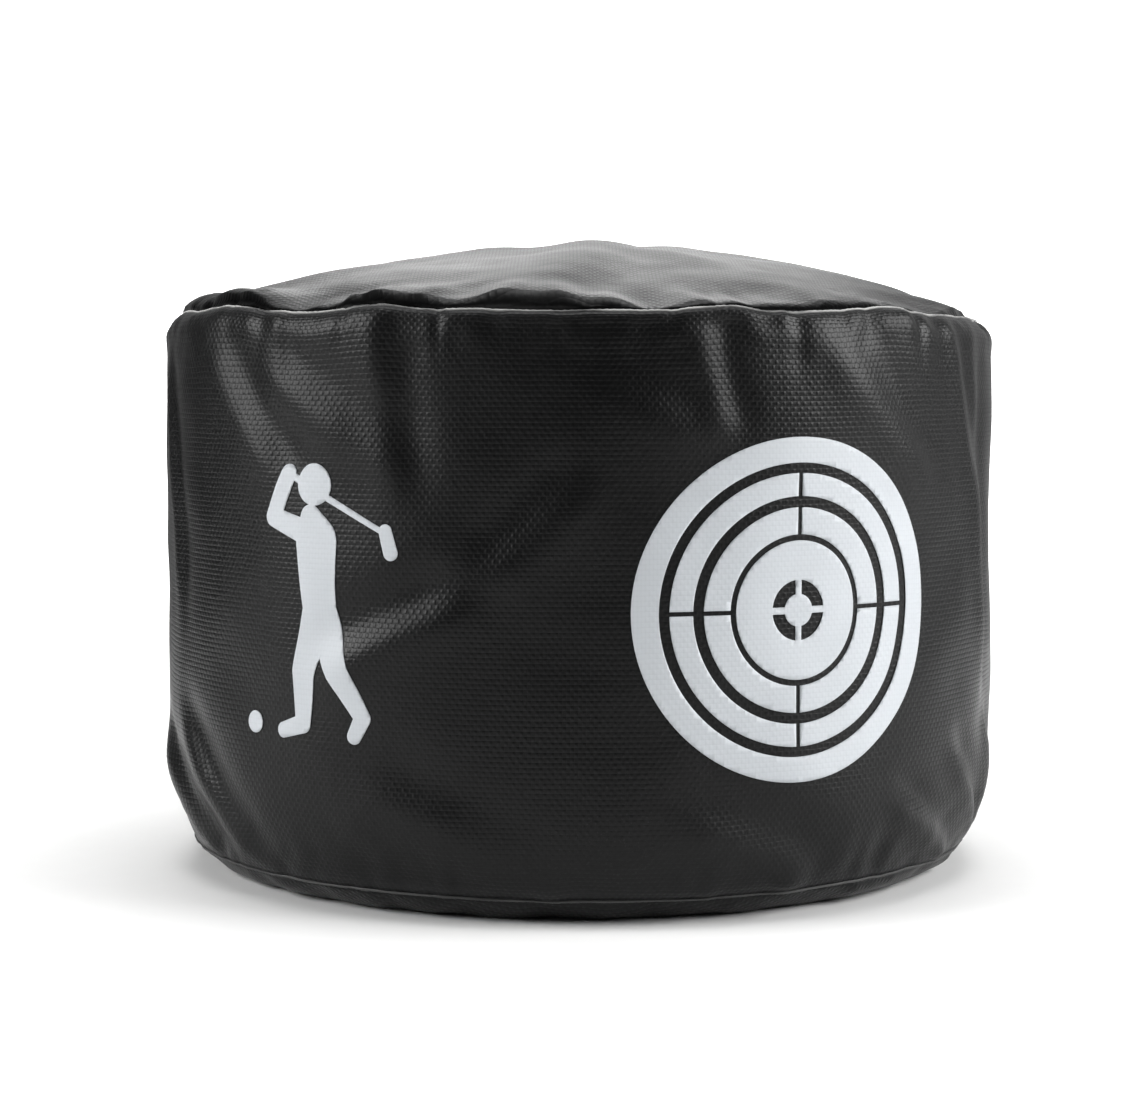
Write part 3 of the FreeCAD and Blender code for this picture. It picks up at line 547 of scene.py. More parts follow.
def laid_strip(name, first, last, low, high, face, edge, slot_name, material, node, thickness=CLOTH):
    """A strip laid on the wall: its face stands face metres off the wall, and its rim edge metres lower."""
    width, height = math.radians(last - first) * WALL_RADIUS, high - low
    columns, rows = max(6, int(width / (1.5 * MM))), max(6, int(height / (2.2 * MM)))
    azimuth = np.linspace(first, last, columns)[None, :]
    run = np.linspace(low, high, rows)[:, None]
    from_side = np.minimum(azimuth - first, last - azimuth) * math.radians(1) * WALL_RADIUS
    inset = np.minimum(from_side, np.minimum(run - low, high - run))
    out = face - edge * (1 - smooth(0, 1.8 * MM, inset))
    mesh = mesh_of(name, wall_points(azimuth, run, out), grid_faces(rows, columns, False))
    flat_map(mesh, flat_places(azimuth, run))
    mark(mesh, "wear_and_highlight", bell(inset, 1.6 * MM) * 0.8)
    mesh.materials.append(material)
    piece = new_object(name, mesh, "bag", slot_name, node)
    thicken(piece, thickness)


def softened(node, width, slot_name, material, body, recess=None):
    """A CAD node's own mesh with its edges rounded.

    recess holds the smallest area of a face that is sunk inside a rim, the rim's width and the depth."""
    mesh = NODES[node].data.copy()
    mesh.name = node + "_cast"
    form = bmesh.new()
    form.from_mesh(mesh)
    bmesh.ops.remove_doubles(form, verts=form.verts, dist=0.000002)
    bmesh.ops.dissolve_limit(form, angle_limit=math.radians(2), verts=form.verts, edges=form.edges)
    if recess:
        area, rim, depth = recess
        for face in [f for f in form.faces if f.calc_area() > area]:
            bmesh.ops.inset_region(form, faces=[face], thickness=rim, depth=-depth, use_even_offset=True)
    form.to_mesh(mesh)
    form.free()
    mesh.materials.clear()
    mesh.materials.append(material)
    shade_smooth(mesh)
    piece = new_object(node + "_cast", mesh, body, slot_name, node)
    edges = piece.modifiers.new("rounded edges", "BEVEL")
    edges.width = width
    edges.segments = 3
    edges.limit_method = "ANGLE"
    edges.angle_limit = math.radians(35)
    edges.harden_normals = True


def runs_of(node):
    """The runs of cloth between which a node on the straight of the wall lies."""
    low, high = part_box(node)
    return low.z + HEIGHT_TO_RUN, high.z + HEIGHT_TO_RUN


# ---------------------------------------------------------------- filling
TOWEL_CLEARANCE = 0.4 * MM
TOWEL_GAP_SHARE = 1 - 0.86


def rolled_towel(name, node, seed):
    """A towel rolled up tightly: one long spiral of terry from the core to the outside."""
    low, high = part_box(node)
    middle = (low + high) / 2
    radius, core, turns = (high.x - low.x) / 2 - TOWEL_CLEARANCE, 6 * MM, 7
    per_turn, rows = 44, 26
    steps = turns * per_turn
    turn = np.linspace(0, turns, steps)
    pitch = (radius - core) / turns
    outer = np.minimum(core + pitch * turn + pitch * smooth(0, 1, turn), radius)
    inner = np.minimum(core + pitch * turn, outer - pitch * 0.55)
    gap = pitch * TOWEL_GAP_SHARE / 2
    angle = turn * 2 * math.pi + seed * 1.7
    loop_r = np.concatenate([outer - gap, (inner + gap)[::-1]])
    loop_a = np.concatenate([angle, angle[::-1]])
    rise = np.linspace(0, 1, rows)
    height = low.z + (high.z - low.z) * rise
    inward = np.clip(np.minimum(rise, 1 - rise) * (high.z - low.z) / (8 * MM), 0, 1)
    waist = 1 - 0.016 * (1 - np.sqrt(inward))[:, None]
    r = loop_r[None] * waist
    count = len(loop_r)
    level = np.broadcast_to(height[:, None], (rows, count))
    place = np.stack([r * np.cos(loop_a)[None], r * np.sin(loop_a)[None], level], -1)
    wobble = lumps(place, 26 * MM, seed) * 0.8 * MM
    slump = 1.6 * MM + 1.6 * MM * lumps(place, 14 * MM, seed + 3)
    ends = np.where((rise < 0.5)[:, None], 1, -1) * (1 - inward)[:, None] * slump
    r = np.minimum(r + wobble * (r < radius - 2 * MM), radius) - 0.35 * np.abs(wobble)
    points = np.stack([middle.x + r * np.cos(loop_a)[None], middle.y + r * np.sin(loop_a)[None],
                       np.clip(level + ends, low.z, high.z)], -1)
    faces = grid_faces(rows, count, True)
    for row, flip in ((0, False), (rows - 1, True)):
        start = row * count
        for k in range(steps - 1):
            quad = (start + k, start + k + 1, start + count - 2 - k, start + count - 1 - k)
            faces.append(quad if flip else tuple(reversed(quad)))
    mesh = mesh_of(name, points, faces)
    form = bmesh.new()
    form.from_mesh(mesh)
    bmesh.ops.recalc_face_normals(form, faces=form.faces)
    form.to_mesh(mesh)
    form.free()
    mesh.materials.append(towel_material())
    new_object(name, mesh, "bag", "towel", node)


def under_dome(radius):
    """Height of the crown towel's top, clear of the top panel."""
    return DOME_CENTRE_Z + np.sqrt(DOME_RADIUS**2 - radius**2) - 7 * MM


def folded_towel(name, node, seed, crowned=False):
    """A towel folded flat into a round pad of three layers that show round its edge."""
    low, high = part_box(node)
    radius, layers = high.x - TOWEL_CLEARANCE, 3
    edge_top = under_dome(radius) if crowned else high.z
    side = np.linspace(0, 1, 10 * layers)
    bulge = np.abs(np.sin(side * layers * math.pi)) ** 0.5
    rim_r = radius - 5 * MM * (1 - bulge)
    rim_z = low.z + (edge_top - low.z) * side
    inner = np.linspace(1, 0, 40)[1:-1]
    top_r = rim_r[-1] * inner
    top_z = under_dome(top_r) if crowned else np.full(len(top_r), edge_top)
    under_r = (rim_r[0] * inner)[::-1]
    profile_r = np.concatenate([under_r, rim_r, top_r])
    profile_z = np.concatenate([np.full(len(under_r), low.z), rim_z, top_z])
    columns = 240
    azimuth = np.linspace(0, 360, columns, endpoint=False)[None]
    place = around(azimuth, profile_r[:, None], profile_z[:, None])
    soft = lumps(place, 40 * MM, seed) * 1.2 * MM + lumps(place, 12 * MM, seed + 1) * 0.5 * MM
    r = np.clip(profile_r[:, None] - np.abs(soft), 0, radius)
    z = np.clip(profile_z[:, None] - np.where(profile_z[:, None] > low.z + MM, np.abs(soft), 0), low.z, high.z)
    points = around(azimuth, r, z).reshape(-1, 3)
    caps = np.array([[0, 0, low.z], [0, 0, top_z[-1]]])
    count = len(profile_r)
    faces = grid_faces(count, columns, True)
    bottom, top = count * columns, count * columns + 1
    last = (count - 1) * columns
    faces += [(bottom, (c + 1) % columns, c) for c in range(columns)]
    faces += [(top, last + c, last + (c + 1) % columns) for c in range(columns)]
    mesh = mesh_of(name, np.concatenate([points, caps]), faces)
    mesh.materials.append(towel_material())
    new_object(name, mesh, "bag", "towel", node)


# ---------------------------------------------------------------- materials
def add(tree, kind, inputs=None, **settings):
    """A shader node with its settings and inputs; an input that is a socket is linked."""
    made = tree.nodes.new(kind)
    for name, value in settings.items():
        setattr(made, name, value)
    for name, value in (inputs or {}).items():
        if isinstance(value, bpy.types.NodeSocket):
            tree.links.new(value, made.inputs[name])
        else:
            made.inputs[name].default_value = value
    return made


def calc(tree, operation, first, second=None, third=None, clamp=False):
    inputs = {i: v for i, v in enumerate((first, second, third)) if v is not None}
    return add(tree, "ShaderNodeMath", inputs, operation=operation, use_clamp=clamp).outputs[0]


def blend_colours(tree, factor, first, second):
    inputs = {"Factor": factor, 6: first, 7: second}
    return add(tree, "ShaderNodeMix", inputs, data_type="RGBA").outputs[2]


def group_shell(name, inputs, outputs):
    """An empty node group with typed sockets, and its input and output nodes."""
    tree = bpy.data.node_groups.new(name, "ShaderNodeTree")
    for label, (kind, value) in inputs.items():
        socket = tree.interface.new_socket(label, in_out="INPUT", socket_type=kind)
        if value is not None:
            socket.default_value = value
    for label in outputs:
        tree.interface.new_socket(label, in_out="OUTPUT", socket_type="NodeSocketFloat")
    return tree, tree.nodes.new("NodeGroupInput").outputs, tree.nodes.new("NodeGroupOutput")


def shared(store, name):
    """Names what a builder makes, and lets it hand back the one of that name if there is one."""
    def wrap(build):
        return functools.wraps(build)(lambda: getattr(bpy.data, store).get(name) or build(name))
    return wrap


@shared("node_groups", "coated weave")
def weave_group(name):
    """Plain weave under a thin coat: pillows in rows and columns, with grooves between them."""
    tree, given, out = group_shell(name, {
        "Place": ("NodeSocketVector", None),
        "Pitch Across": ("NodeSocketFloat", 0.0018),
        "Pitch Up": ("NodeSocketFloat", 0.0024),
        "Wander": ("NodeSocketFloat", 0.0005),
    }, ("Height", "Groove"))
    wander = add(tree, "ShaderNodeTexNoise", {"Vector": given["Place"], "Scale": 38.0, "Detail": 1.0})
    shift = add(tree, "ShaderNodeVectorMath", {0: wander.outputs["Color"], 1: (0.5, 0.5, 0.5)}, operation="SUBTRACT")
    scaled = add(tree, "ShaderNodeVectorMath", {0: shift.outputs[0], "Scale": given["Wander"]}, operation="SCALE")
    moved = add(tree, "ShaderNodeVectorMath", {0: given["Place"], 1: scaled.outputs[0]}, operation="ADD")
    axes = add(tree, "ShaderNodeSeparateXYZ", {0: moved.outputs[0]}).outputs
    waves = []
    for axis, pitch in ((axes[0], given["Pitch Across"]), (axes[1], given["Pitch Up"])):
        turns = calc(tree, "MULTIPLY", calc(tree, "DIVIDE", axis, pitch), math.pi)
        waves.append(calc(tree, "SINE", turns))
    crossing = calc(tree, "MULTIPLY", waves[0], waves[1])
    pillow = calc(tree, "POWER", calc(tree, "ABSOLUTE", crossing), 0.55)
    rows = calc(tree, "POWER", calc(tree, "ABSOLUTE", waves[1]), 0.5)
    low = calc(tree, "MULTIPLY_ADD", pillow, 0.30, calc(tree, "MULTIPLY", rows, 0.36))
    height = calc(tree, "MULTIPLY_ADD", crossing, 0.34, low)
    tree.links.new(height, out.inputs["Height"])
    tree.links.new(calc(tree, "SUBTRACT", 1.0, pillow, clamp=True), out.inputs["Groove"])
    return tree


@shared("node_groups", "scuffs")
def wear_group(name):
    """Soft patches of scuffing and settled dust."""
    tree, given, out = group_shell(name, {
        "Place": ("NodeSocketVector", None),
        "Patch Size": ("NodeSocketFloat", 0.08),
        "Amount": ("NodeSocketFloat", 0.5),
    }, ("Scuff", "Haze"))
    frequency = calc(tree, "DIVIDE", 1.0, given["Patch Size"])
    patches = add(tree, "ShaderNodeTexNoise",
                  {"Vector": given["Place"], "Scale": frequency, "Detail": 4.0, "Roughness": 0.6})
    fine = add(tree, "ShaderNodeTexNoise", {"Vector": given["Place"], "Scale": 900.0, "Detail": 2.0})
    haze = calc(tree, "MULTIPLY", calc(tree, "SUBTRACT", patches.outputs["Fac"], 0.35, clamp=True), given["Amount"])
    scuff = calc(tree, "MULTIPLY", calc(tree, "GREATER_THAN", fine.outputs["Fac"], 0.66), haze)
    tree.links.new(scuff, out.inputs["Scuff"])
    tree.links.new(haze, out.inputs["Haze"])
    return tree


def fresh_material(name):
    """A new material, its node tree and its Principled shader."""
    material = bpy.data.materials.new(name)
    material.use_nodes = True
    tree = material.node_tree
    return material, tree, tree.nodes["Principled BSDF"]


def finish_with(tree, shader, colour, roughness, normal):
    for name, value in (("Base Color", colour), ("Roughness", roughness), ("Normal", normal)):
        tree.links.new(value, shader.inputs[name])


def object_place(tree):
    return add(tree, "ShaderNodeTexCoord").outputs["Object"]


def apply_group(tree, group, inputs):
    return add(tree, "ShaderNodeGroup", inputs, node_tree=group).outputs


def scuffs(tree, place, patch_size, amount):
    return apply_group(tree, wear_group(), {"Place": place, "Patch Size": patch_size, "Amount": amount})


def grain_of(tree, place, scale, detail):
    """Noise of a scale, as a value."""
    return add(tree, "ShaderNodeTexNoise", {"Vector": place, "Scale": scale, "Detail": detail}).outputs["Fac"]


def bump(tree, height, strength, distance, normal=None):
    inputs = {"Height": height, "Strength": strength, "Distance": distance}
    if normal is not None:
        inputs["Normal"] = normal
    return add(tree, "ShaderNodeBump", inputs).outputs[0]


@shared("materials", "coated_mesh_cloth")
def cloth_material(name):
    """Black coated mesh cloth: a satin skin over a weave that shows where light glances off it."""
    looks = bpy.context.scene.impact_bag_looks
    material, tree, shader = fresh_material(name)
    place = add(tree, "ShaderNodeUVMap", uv_map="cloth").outputs[0]
    solid = object_place(tree)
    weave = apply_group(tree, weave_group(),
                        {"Place": place, "Pitch Across": looks.weave_across, "Pitch Up": looks.weave_up})
    wear = scuffs(tree, solid, 0.07, 0.9)
    wear_and_highlight = add(tree, "ShaderNodeAttribute", attribute_name="wear_and_highlight").outputs["Fac"]
    worn = calc(tree, "MULTIPLY", wear_and_highlight, 0.4)
    colour = blend_colours(tree, calc(tree, "MULTIPLY", weave["Groove"], 0.5),
                           (*looks.cloth_colour, 1), (*looks.groove_colour, 1))
    colour = blend_colours(tree, calc(tree, "ADD", worn, wear["Scuff"], clamp=True), colour, (*looks.rub_colour, 1))
    rough = calc(tree, "MULTIPLY_ADD", wear["Haze"], 0.35, calc(tree, "MULTIPLY_ADD", weave["Groove"], 0.10, 0.29))
    crinkle = add(tree, "ShaderNodeTexNoise", {"Vector": solid, "Scale": 240.0, "Detail": 3.0, "Roughness": 0.55})
    normal = bump(tree, crinkle.outputs["Fac"], 0.16, 0.0012)
    normal = bump(tree, weave["Height"], 1.0, 0.00019, normal)
    finish_with(tree, shader, colour, rough, normal)
    shader.inputs["Specular IOR Level"].default_value = 0.21
    return material


@shared("materials", "screen_ink")
def ink_material(name):
    """White screen ink, a little grey where the weave shows through."""
    looks = bpy.context.scene.impact_bag_looks
    material, tree, shader = fresh_material(name)
    place = add(tree, "ShaderNodeUVMap", uv_map="cloth").outputs[0]
    solid = object_place(tree)
    weave = apply_group(tree, weave_group(),
                        {"Place": place, "Pitch Across": looks.weave_across, "Pitch Up": looks.weave_up})
    wear = scuffs(tree, solid, 0.05, 0.7)
    grey = calc(tree, "MULTIPLY_ADD", calc(tree, "POWER", weave["Groove"], 3.0), 0.35, wear["Haze"], clamp=True)
    colour = blend_colours(tree, calc(tree, "MULTIPLY", grey, 0.6), (*looks.ink_colour, 1), (0.33, 0.35, 0.38, 1))
    rough = calc(tree, "MULTIPLY_ADD", wear["Haze"], 0.2, 0.48)
    finish_with(tree, shader, colour, rough, bump(tree, weave["Height"], 0.35, 0.00025))
    shader.inputs["Specular IOR Level"].default_value = 0.4
    return material


@shared("materials", "welt_lip")
def welt_material(name):
    """The seam's lip: the same cloth, painted paler along its crest as a highlight."""
    material, tree, shader = fresh_material(name)
    solid = object_place(tree)
    wear = scuffs(tree, solid, 0.045, 5.5)
    wear_and_highlight = add(tree, "ShaderNodeAttribute", attribute_name="wear_and_highlight").outputs["Fac"]
    height = add(tree, "ShaderNodeSeparateXYZ", {0: solid}).outputs[2]
    # painted highlight on the lip's crest: full on the top seam, faint on the base seam
    on_top = calc(tree, "GREATER_THAN", height, (BASE_SEAM_Z + TOP_SEAM_Z) / 2)
    rubbed = calc(tree, "MULTIPLY", wear_and_highlight, calc(tree, "MULTIPLY_ADD", on_top, 0.88, 0.12))
    crest = calc(tree, "MULTIPLY", rubbed, calc(tree, "ADD", wear["Haze"], 0.05), clamp=True)
    # the pale grey is a painted highlight, broken into patches by the scuff noise
    colour = blend_colours(tree, crest, (0.006, 0.0062, 0.0065, 1), (0.42, 0.42, 0.41, 1))
    grain = grain_of(tree, solid, 1100.0, 2.0)
    rough = calc(tree, "MULTIPLY_ADD", wear["Haze"], 0.3, 0.34)
    finish_with(tree, shader, colour, rough, bump(tree, grain, 0.4, 0.0003))
    return material


@shared("materials", "black_thread")
def thread_material(name):
    """Twisted black polyester thread, a little dusty."""
    material, tree, shader = fresh_material(name)
    solid = object_place(tree)
    twist = add(tree, "ShaderNodeTexWave", {"Vector": solid, "Scale": 900.0, "Distortion": 3.0, "Detail": 1.0})
    colour = blend_colours(tree, twist.outputs["Fac"], (0.03, 0.03, 0.031, 1), (0.11, 0.11, 0.112, 1))
    rough = calc(tree, "MULTIPLY_ADD", twist.outputs["Fac"], 0.15, 0.5)
    finish_with(tree, shader, colour, rough, bump(tree, twist.outputs["Fac"], 0.5, 0.0001))
    return material


@shared("materials", "woven_tape")
def tape_material(name):
    """The zip's woven tape: matt black, in fine slanting ribs."""
    material, tree, shader = fresh_material(name)
    place = add(tree, "ShaderNodeUVMap", uv_map="cloth").outputs[0]
    solid = object_place(tree)
    slanted = add(tree, "ShaderNodeMapping", {"Vector": place, "Rotation": (0, 0, math.radians(35))}).outputs[0]
    weave = apply_group(tree, weave_group(),
                        {"Place": slanted, "Pitch Across": 0.0009, "Pitch Up": 0.0005, "Wander": 0.0001})
    wear = scuffs(tree, solid, 0.03, 0.8)
    dust = calc(tree, "MULTIPLY_ADD", weave["Groove"], 0.35, wear["Haze"], clamp=True)
    colour = blend_colours(tree, dust, (0.011, 0.011, 0.012, 1), (0.035, 0.035, 0.036, 1))
    rough = calc(tree, "MULTIPLY_ADD", weave["Groove"], 0.15, 0.7)
    finish_with(tree, shader, colour, rough, bump(tree, weave["Height"], 0.7, 0.0002))
    shader.inputs["Sheen Weight"].default_value = 0.15
    return material


@shared("materials", "moulded_teeth")
def teeth_material(name):
    """Moulded black zip teeth, satin, with scuffed crowns."""
    material, tree, shader = fresh_material(name)
    solid = object_place(tree)
    wear = scuffs(tree, solid, 0.012, 1.2)
    grain = grain_of(tree, solid, 1500.0, 2.0)
    colour = blend_colours(tree, wear["Haze"], (0.013, 0.013, 0.014, 1), (0.06, 0.06, 0.062, 1))
    rough = calc(tree, "MULTIPLY_ADD", wear["Haze"], 0.4, 0.3)
    finish_with(tree, shader, colour, rough, bump(tree, grain, 0.2, 0.0001))
    return material


@shared("materials", "plated_zinc")
def metal_material(name):
    """Black-nickel plated zinc, worn to grey in places."""
    material, tree, shader = fresh_material(name)
    solid = object_place(tree)
    wear = scuffs(tree, solid, 0.006, 1.6)
    brushed = add(tree, "ShaderNodeMapping", {"Vector": solid, "Scale": (900, 900, 120)}).outputs[0]
    lines = grain_of(tree, brushed, 1.0, 2.0)
    colour = blend_colours(tree, wear["Haze"], (0.16, 0.16, 0.17, 1), (0.52, 0.51, 0.49, 1))
    rough = calc(tree, "MULTIPLY_ADD", lines, 0.2, 0.18)
    finish_with(tree, shader, colour, rough, bump(tree, lines, 0.12, 0.00008))
    shader.inputs["Metallic"].default_value = 1.0
    return material


@shared("materials", "terry")
def towel_material(name):
    """Off-white terry: a pile of small loops, a little yellower between them, with painted shade darkening the
    hollows there.
    """
    material, tree, shader = fresh_material(name)
    solid = object_place(tree)
    loops = add(tree, "ShaderNodeTexVoronoi", {"Vector": solid, "Scale": 520.0}, feature="SMOOTH_F1")
    patches = grain_of(tree, solid, 14.0, 4.0)
    # the darker colour between the loops is painted shade in the pile's hollows
    colour = blend_colours(tree, loops.outputs["Distance"], (0.72, 0.69, 0.62, 1), (0.40, 0.37, 0.31, 1))
    colour = blend_colours(tree, calc(tree, "MULTIPLY", patches, 0.35), colour, (0.50, 0.47, 0.41, 1))
    rough = calc(tree, "MULTIPLY_ADD", patches, 0.1, 0.86)
    finish_with(tree, shader, colour, rough, bump(tree, loops.outputs["Distance"], 0.9, 0.0012))
    shader.inputs["Sheen Weight"].default_value = 0.3
    return material


# ---------------------------------------------------------------- settings
class ImpactBagLooks(bpy.types.PropertyGroup):
    """Colours and weave of the bag."""

    cloth_colour: bpy.props.FloatVectorProperty(
        name="Cloth", description="Colour of the coated cloth", default=(0.0022, 0.0023, 0.0024),
        subtype="COLOR", min=0, max=1)
    groove_colour: bpy.props.FloatVectorProperty(
        name="Groove", description="Colour between the weave's yarns", default=(0.0042, 0.0043, 0.0044),
        subtype="COLOR", min=0, max=1)
    rub_colour: bpy.props.FloatVectorProperty(
        name="Rubbed", description="Colour of the cloth where it is rubbed", default=(0.030, 0.030, 0.031),
        subtype="COLOR", min=0, max=1)
    ink_colour: bpy.props.FloatVectorProperty(
        name="Ink", description="Colour of the prints", default=(0.53, 0.556, 0.582),
        subtype="COLOR", min=0, max=1)
    weave_across: bpy.props.FloatProperty(
        name="Weave Across", description="Distance from yarn to yarn round the drum", default=0.0018,
        unit="LENGTH", precision=4)
    weave_up: bpy.props.FloatProperty(
        name="Weave Up", description="Distance from yarn to yarn up the drum", default=0.0024,
        unit="LENGTH", precision=4)


class ImpactBagStudio(bpy.types.PropertyGroup):
    """Where the camera stands and how it looks."""

    distance: bpy.props.FloatProperty(
        name="Camera Distance", description="From the bag's axis to the camera", default=1.39, unit="LENGTH")
    height: bpy.props.FloatProperty(
        name="Camera Height", description="Above the floor", default=0.2588, unit="LENGTH")
    aside: bpy.props.FloatProperty(
        name="Camera Aside", description="How far the camera stands to the side of the axis", default=-0.0089,
        unit="LENGTH")
    tilt: bpy.props.FloatProperty(
        name="Camera Tilt", description="How far the camera looks down", default=math.radians(4.06),
        unit="ROTATION")
    lens: bpy.props.FloatProperty(
        name="Lens", description="Focal length on a 36 mm sensor", default=82.2, unit="CAMERA")


# ---------------------------------------------------------------- operators
class IMPACTBAG_OT_cloth(bpy.types.Operator):
    """Builds the wall, top and base panels."""

    bl_idname = "impact_bag.cloth"
    bl_label = "Cloth Panels"

    def execute(self, context):
        top, base, mouth = WALL_RUN + ALLOWANCE, -ALLOWANCE, ZIP_Z + HEIGHT_TO_RUN
        first, last = BACK - BACK_HALF_SPAN, BACK + BACK_HALF_SPAN
        wall_cloth("front_wall_cloth", base, top, -FRONT_HALF_SPAN, FRONT_HALF_SPAN, "wall_front_panel")
        wall_cloth("back_lower_cloth", base, mouth - ZIP_MOUTH, first, last, "wall_rear_lower_panel")
        wall_cloth("back_upper_cloth", mouth + ZIP_MOUTH, top, first, last, "wall_rear_upper_strip")
        disc_cloth("top_cloth", top_points, TOP_RUN, TOP_SEAM_RADIUS, "top_panel", True)
        disc_cloth("base_cloth", base_points, BASE_RUN, BASE_SEAM_RADIUS, "base_panel", False)
        return {"FINISHED"}


class IMPACTBAG_OT_prints(bpy.types.Operator):
    """Lays the printed target and golfer on the wall."""

    bl_idname = "impact_bag.prints"
    bl_label = "Prints"

    def execute(self, context):
        for node in ("target_print", "golfer_print"):
            lay_print(node)
        return {"FINISHED"}


def lay_print(node):
    """A CAD film cut finely and pressed onto the wall as the cloth lies."""
    mesh = NODES[node].data.copy()
    mesh.name = node + "_film"
    form = bmesh.new()
    form.from_mesh(mesh)
    bmesh.ops.remove_doubles(form, verts=form.verts, dist=0.00001)
    low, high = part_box(node)
    for height in np.arange(low.z + PRINT_STEP, high.z, PRINT_STEP):
        cut(form, (0, 0, height), (0, 0, 1))
    corners = [math.degrees(math.atan2(v.co.x, -v.co.y)) for v in form.verts]
    for azimuth in np.arange(min(corners), max(corners), math.degrees(PRINT_STEP / WALL_RADIUS))[1:]:
        angle = math.radians(azimuth)
        cut(form, (0, 0, 0), (math.cos(angle), math.sin(angle), 0))
    form.to_mesh(mesh)
    form.free()
    places = np.zeros(len(mesh.vertices) * 3)
    mesh.vertices.foreach_get("co", places)
    x, y, z = places.reshape(-1, 3).T
    azimuth = np.degrees(np.arctan2(x, -y))
    run = z + HEIGHT_TO_RUN
    pressed = wall_points(azimuth, run, np.hypot(x, y) - WALL_RADIUS + 0.1 * MM)
    mesh.vertices.foreach_set("co", pressed.ravel())
    flat_map(mesh, flat_places(azimuth, run))
    mesh.materials.clear()
    mesh.materials.append(ink_material())
    shade_smooth(mesh)
    new_object(node + "_film", mesh, "bag", "white_print", node)


def cut(form, place, normal):
    """Adds edges where a plane crosses a mesh, so that the mesh can bend there."""
    everything = form.verts[:] + form.edges[:] + form.faces[:]
    bmesh.ops.bisect_plane(form, geom=everything, plane_co=place, plane_no=normal)


class IMPACTBAG_OT_seams(bpy.types.Operator):
    """Sews the welts, laps and threads."""

    bl_idname = "impact_bag.seams"
    bl_label = "Seams and Stitching"

    def execute(self, context):
        welt("top_lip", WALL_RUN - 0.2 * MM, 0.5, 0.95 * MM, "top_seam_welt")
        welt("base_lip", 0.3 * MM, -0.5, 0.8 * MM, "base_seam_welt")
        stitching("top_stitches", [seam_path(WALL_RUN + 6 * MM, 1.3 * MM)], "top_seam_thread")
        stitching("base_stitches", [seam_path(-6 * MM, 1.3 * MM)], "base_seam_thread")
        for middle, word in ((BACK - BACK_HALF_SPAN, "right"), (BACK + BACK_HALF_SPAN, "left")):
            laid_strip(f"{word}_lap_cloth", middle - LAP_HALF_SPAN, middle + LAP_HALF_SPAN, 3 * MM, WALL_RUN - 3 * MM,
                       1.15 * MM, 0.9 * MM, "coated_mesh", cloth_material(), f"rear_seam_{word}_lap")
            rows = [climb_path(middle + aside, 4 * MM, WALL_RUN - 4 * MM, 1.25 * MM)
                    for aside in (-LAP_STITCH_ASIDE, LAP_STITCH_ASIDE)]
            stitching(f"{word}_lap_stitches", rows, f"rear_seam_{word}_thread")
        return {"FINISHED"}


class IMPACTBAG_OT_zip(bpy.types.Operator):
    """Builds the zip's tapes, patches, stitching, slider and pull, and finishes its teeth."""

    bl_idname = "impact_bag.zip"
    bl_label = "Zip"

    def execute(self, context):
        for word in ("lower", "upper"):
            bottom, top = runs_of(f"zip_{word}_tape")
            laid_strip(f"{word}_tape_weave", BACK - TAPE_HALF_SPAN, BACK + TAPE_HALF_SPAN, bottom, top,
                       -1.1 * MM, 0.1 * MM, "zip_tape", tape_material(), f"zip_{word}_tape", 0.8 * MM)
            middle = sum(runs_of(f"zip_{word}_thread")) / 2
            path = seam_path(middle, 0.2 * MM, BACK - ZIP_STITCH_HALF_SPAN, BACK + ZIP_STITCH_HALF_SPAN)
            stitching(f"zip_{word}_stitches", [path], f"zip_{word}_thread")
        for word, start in PATCH_STARTS:
            bottom, top = runs_of(f"zip_{word}_end_patch")
            laid_strip(f"{word}_patch_cloth", start, start + PATCH_SPAN, bottom, top, 1.1 * MM, 0.7 * MM,
                       "coated_mesh", cloth_material(), f"zip_{word}_end_patch")
            bottom, top = bottom + 3 * MM, top - 3 * MM
            first, last = start + PATCH_STITCH_INSET, start + PATCH_SPAN - PATCH_STITCH_INSET
            rows = [climb_path(azimuth, bottom, top, 1.2 * MM) for azimuth in (first, last)]
            rows += [seam_path(run, 1.2 * MM, first, last) for run in (bottom, top)]
            stitching(f"{word}_patch_stitches", rows)
        for node in ("zip_lower_teeth", "zip_upper_teeth", "zip_closed_end_stops", "zip_open_end_stop"):
            NODES[node].data.materials.clear()
            NODES[node].data.materials.append(teeth_material() if "teeth" in node else metal_material())
        softened("zip_slider_body", 0.22 * MM, "zip_metal", metal_material(), "zip_slider")
        softened("zip_pull_tab", 0.25 * MM, "zip_metal", metal_material(), "zip_pull",
                 (100 * MM**2, 1.1 * MM, 0.3 * MM))
        return {"FINISHED"}


class IMPACTBAG_OT_filling(bpy.types.Operator):
    """Packs the bag with rolled and folded towels."""

    bl_idname = "impact_bag.filling"
    bl_label = "Towel Filling"

    def execute(self, context):
        for number in range(1, 8):
            rolled_towel(f"towel_roll_{number}", f"filling_roll_{number}", number)
        folded_towel("base_towel_pad", "filling_base_towel", 31)
        folded_towel("crown_towel_pad", "filling_crown_towel", 41, crowned=True)
        return {"FINISHED"}


class IMPACTBAG_OT_stage(bpy.types.Operator):
    """Builds the floor, the lights and the camera."""

    bl_idname = "impact_bag.stage"
    bl_label = "Studio"

    def execute(self, context):
        studio = context.scene.impact_bag_studio
        build_floor()
        build_lights()
        build_flags()
        build_camera(studio)
        return {"FINISHED"}


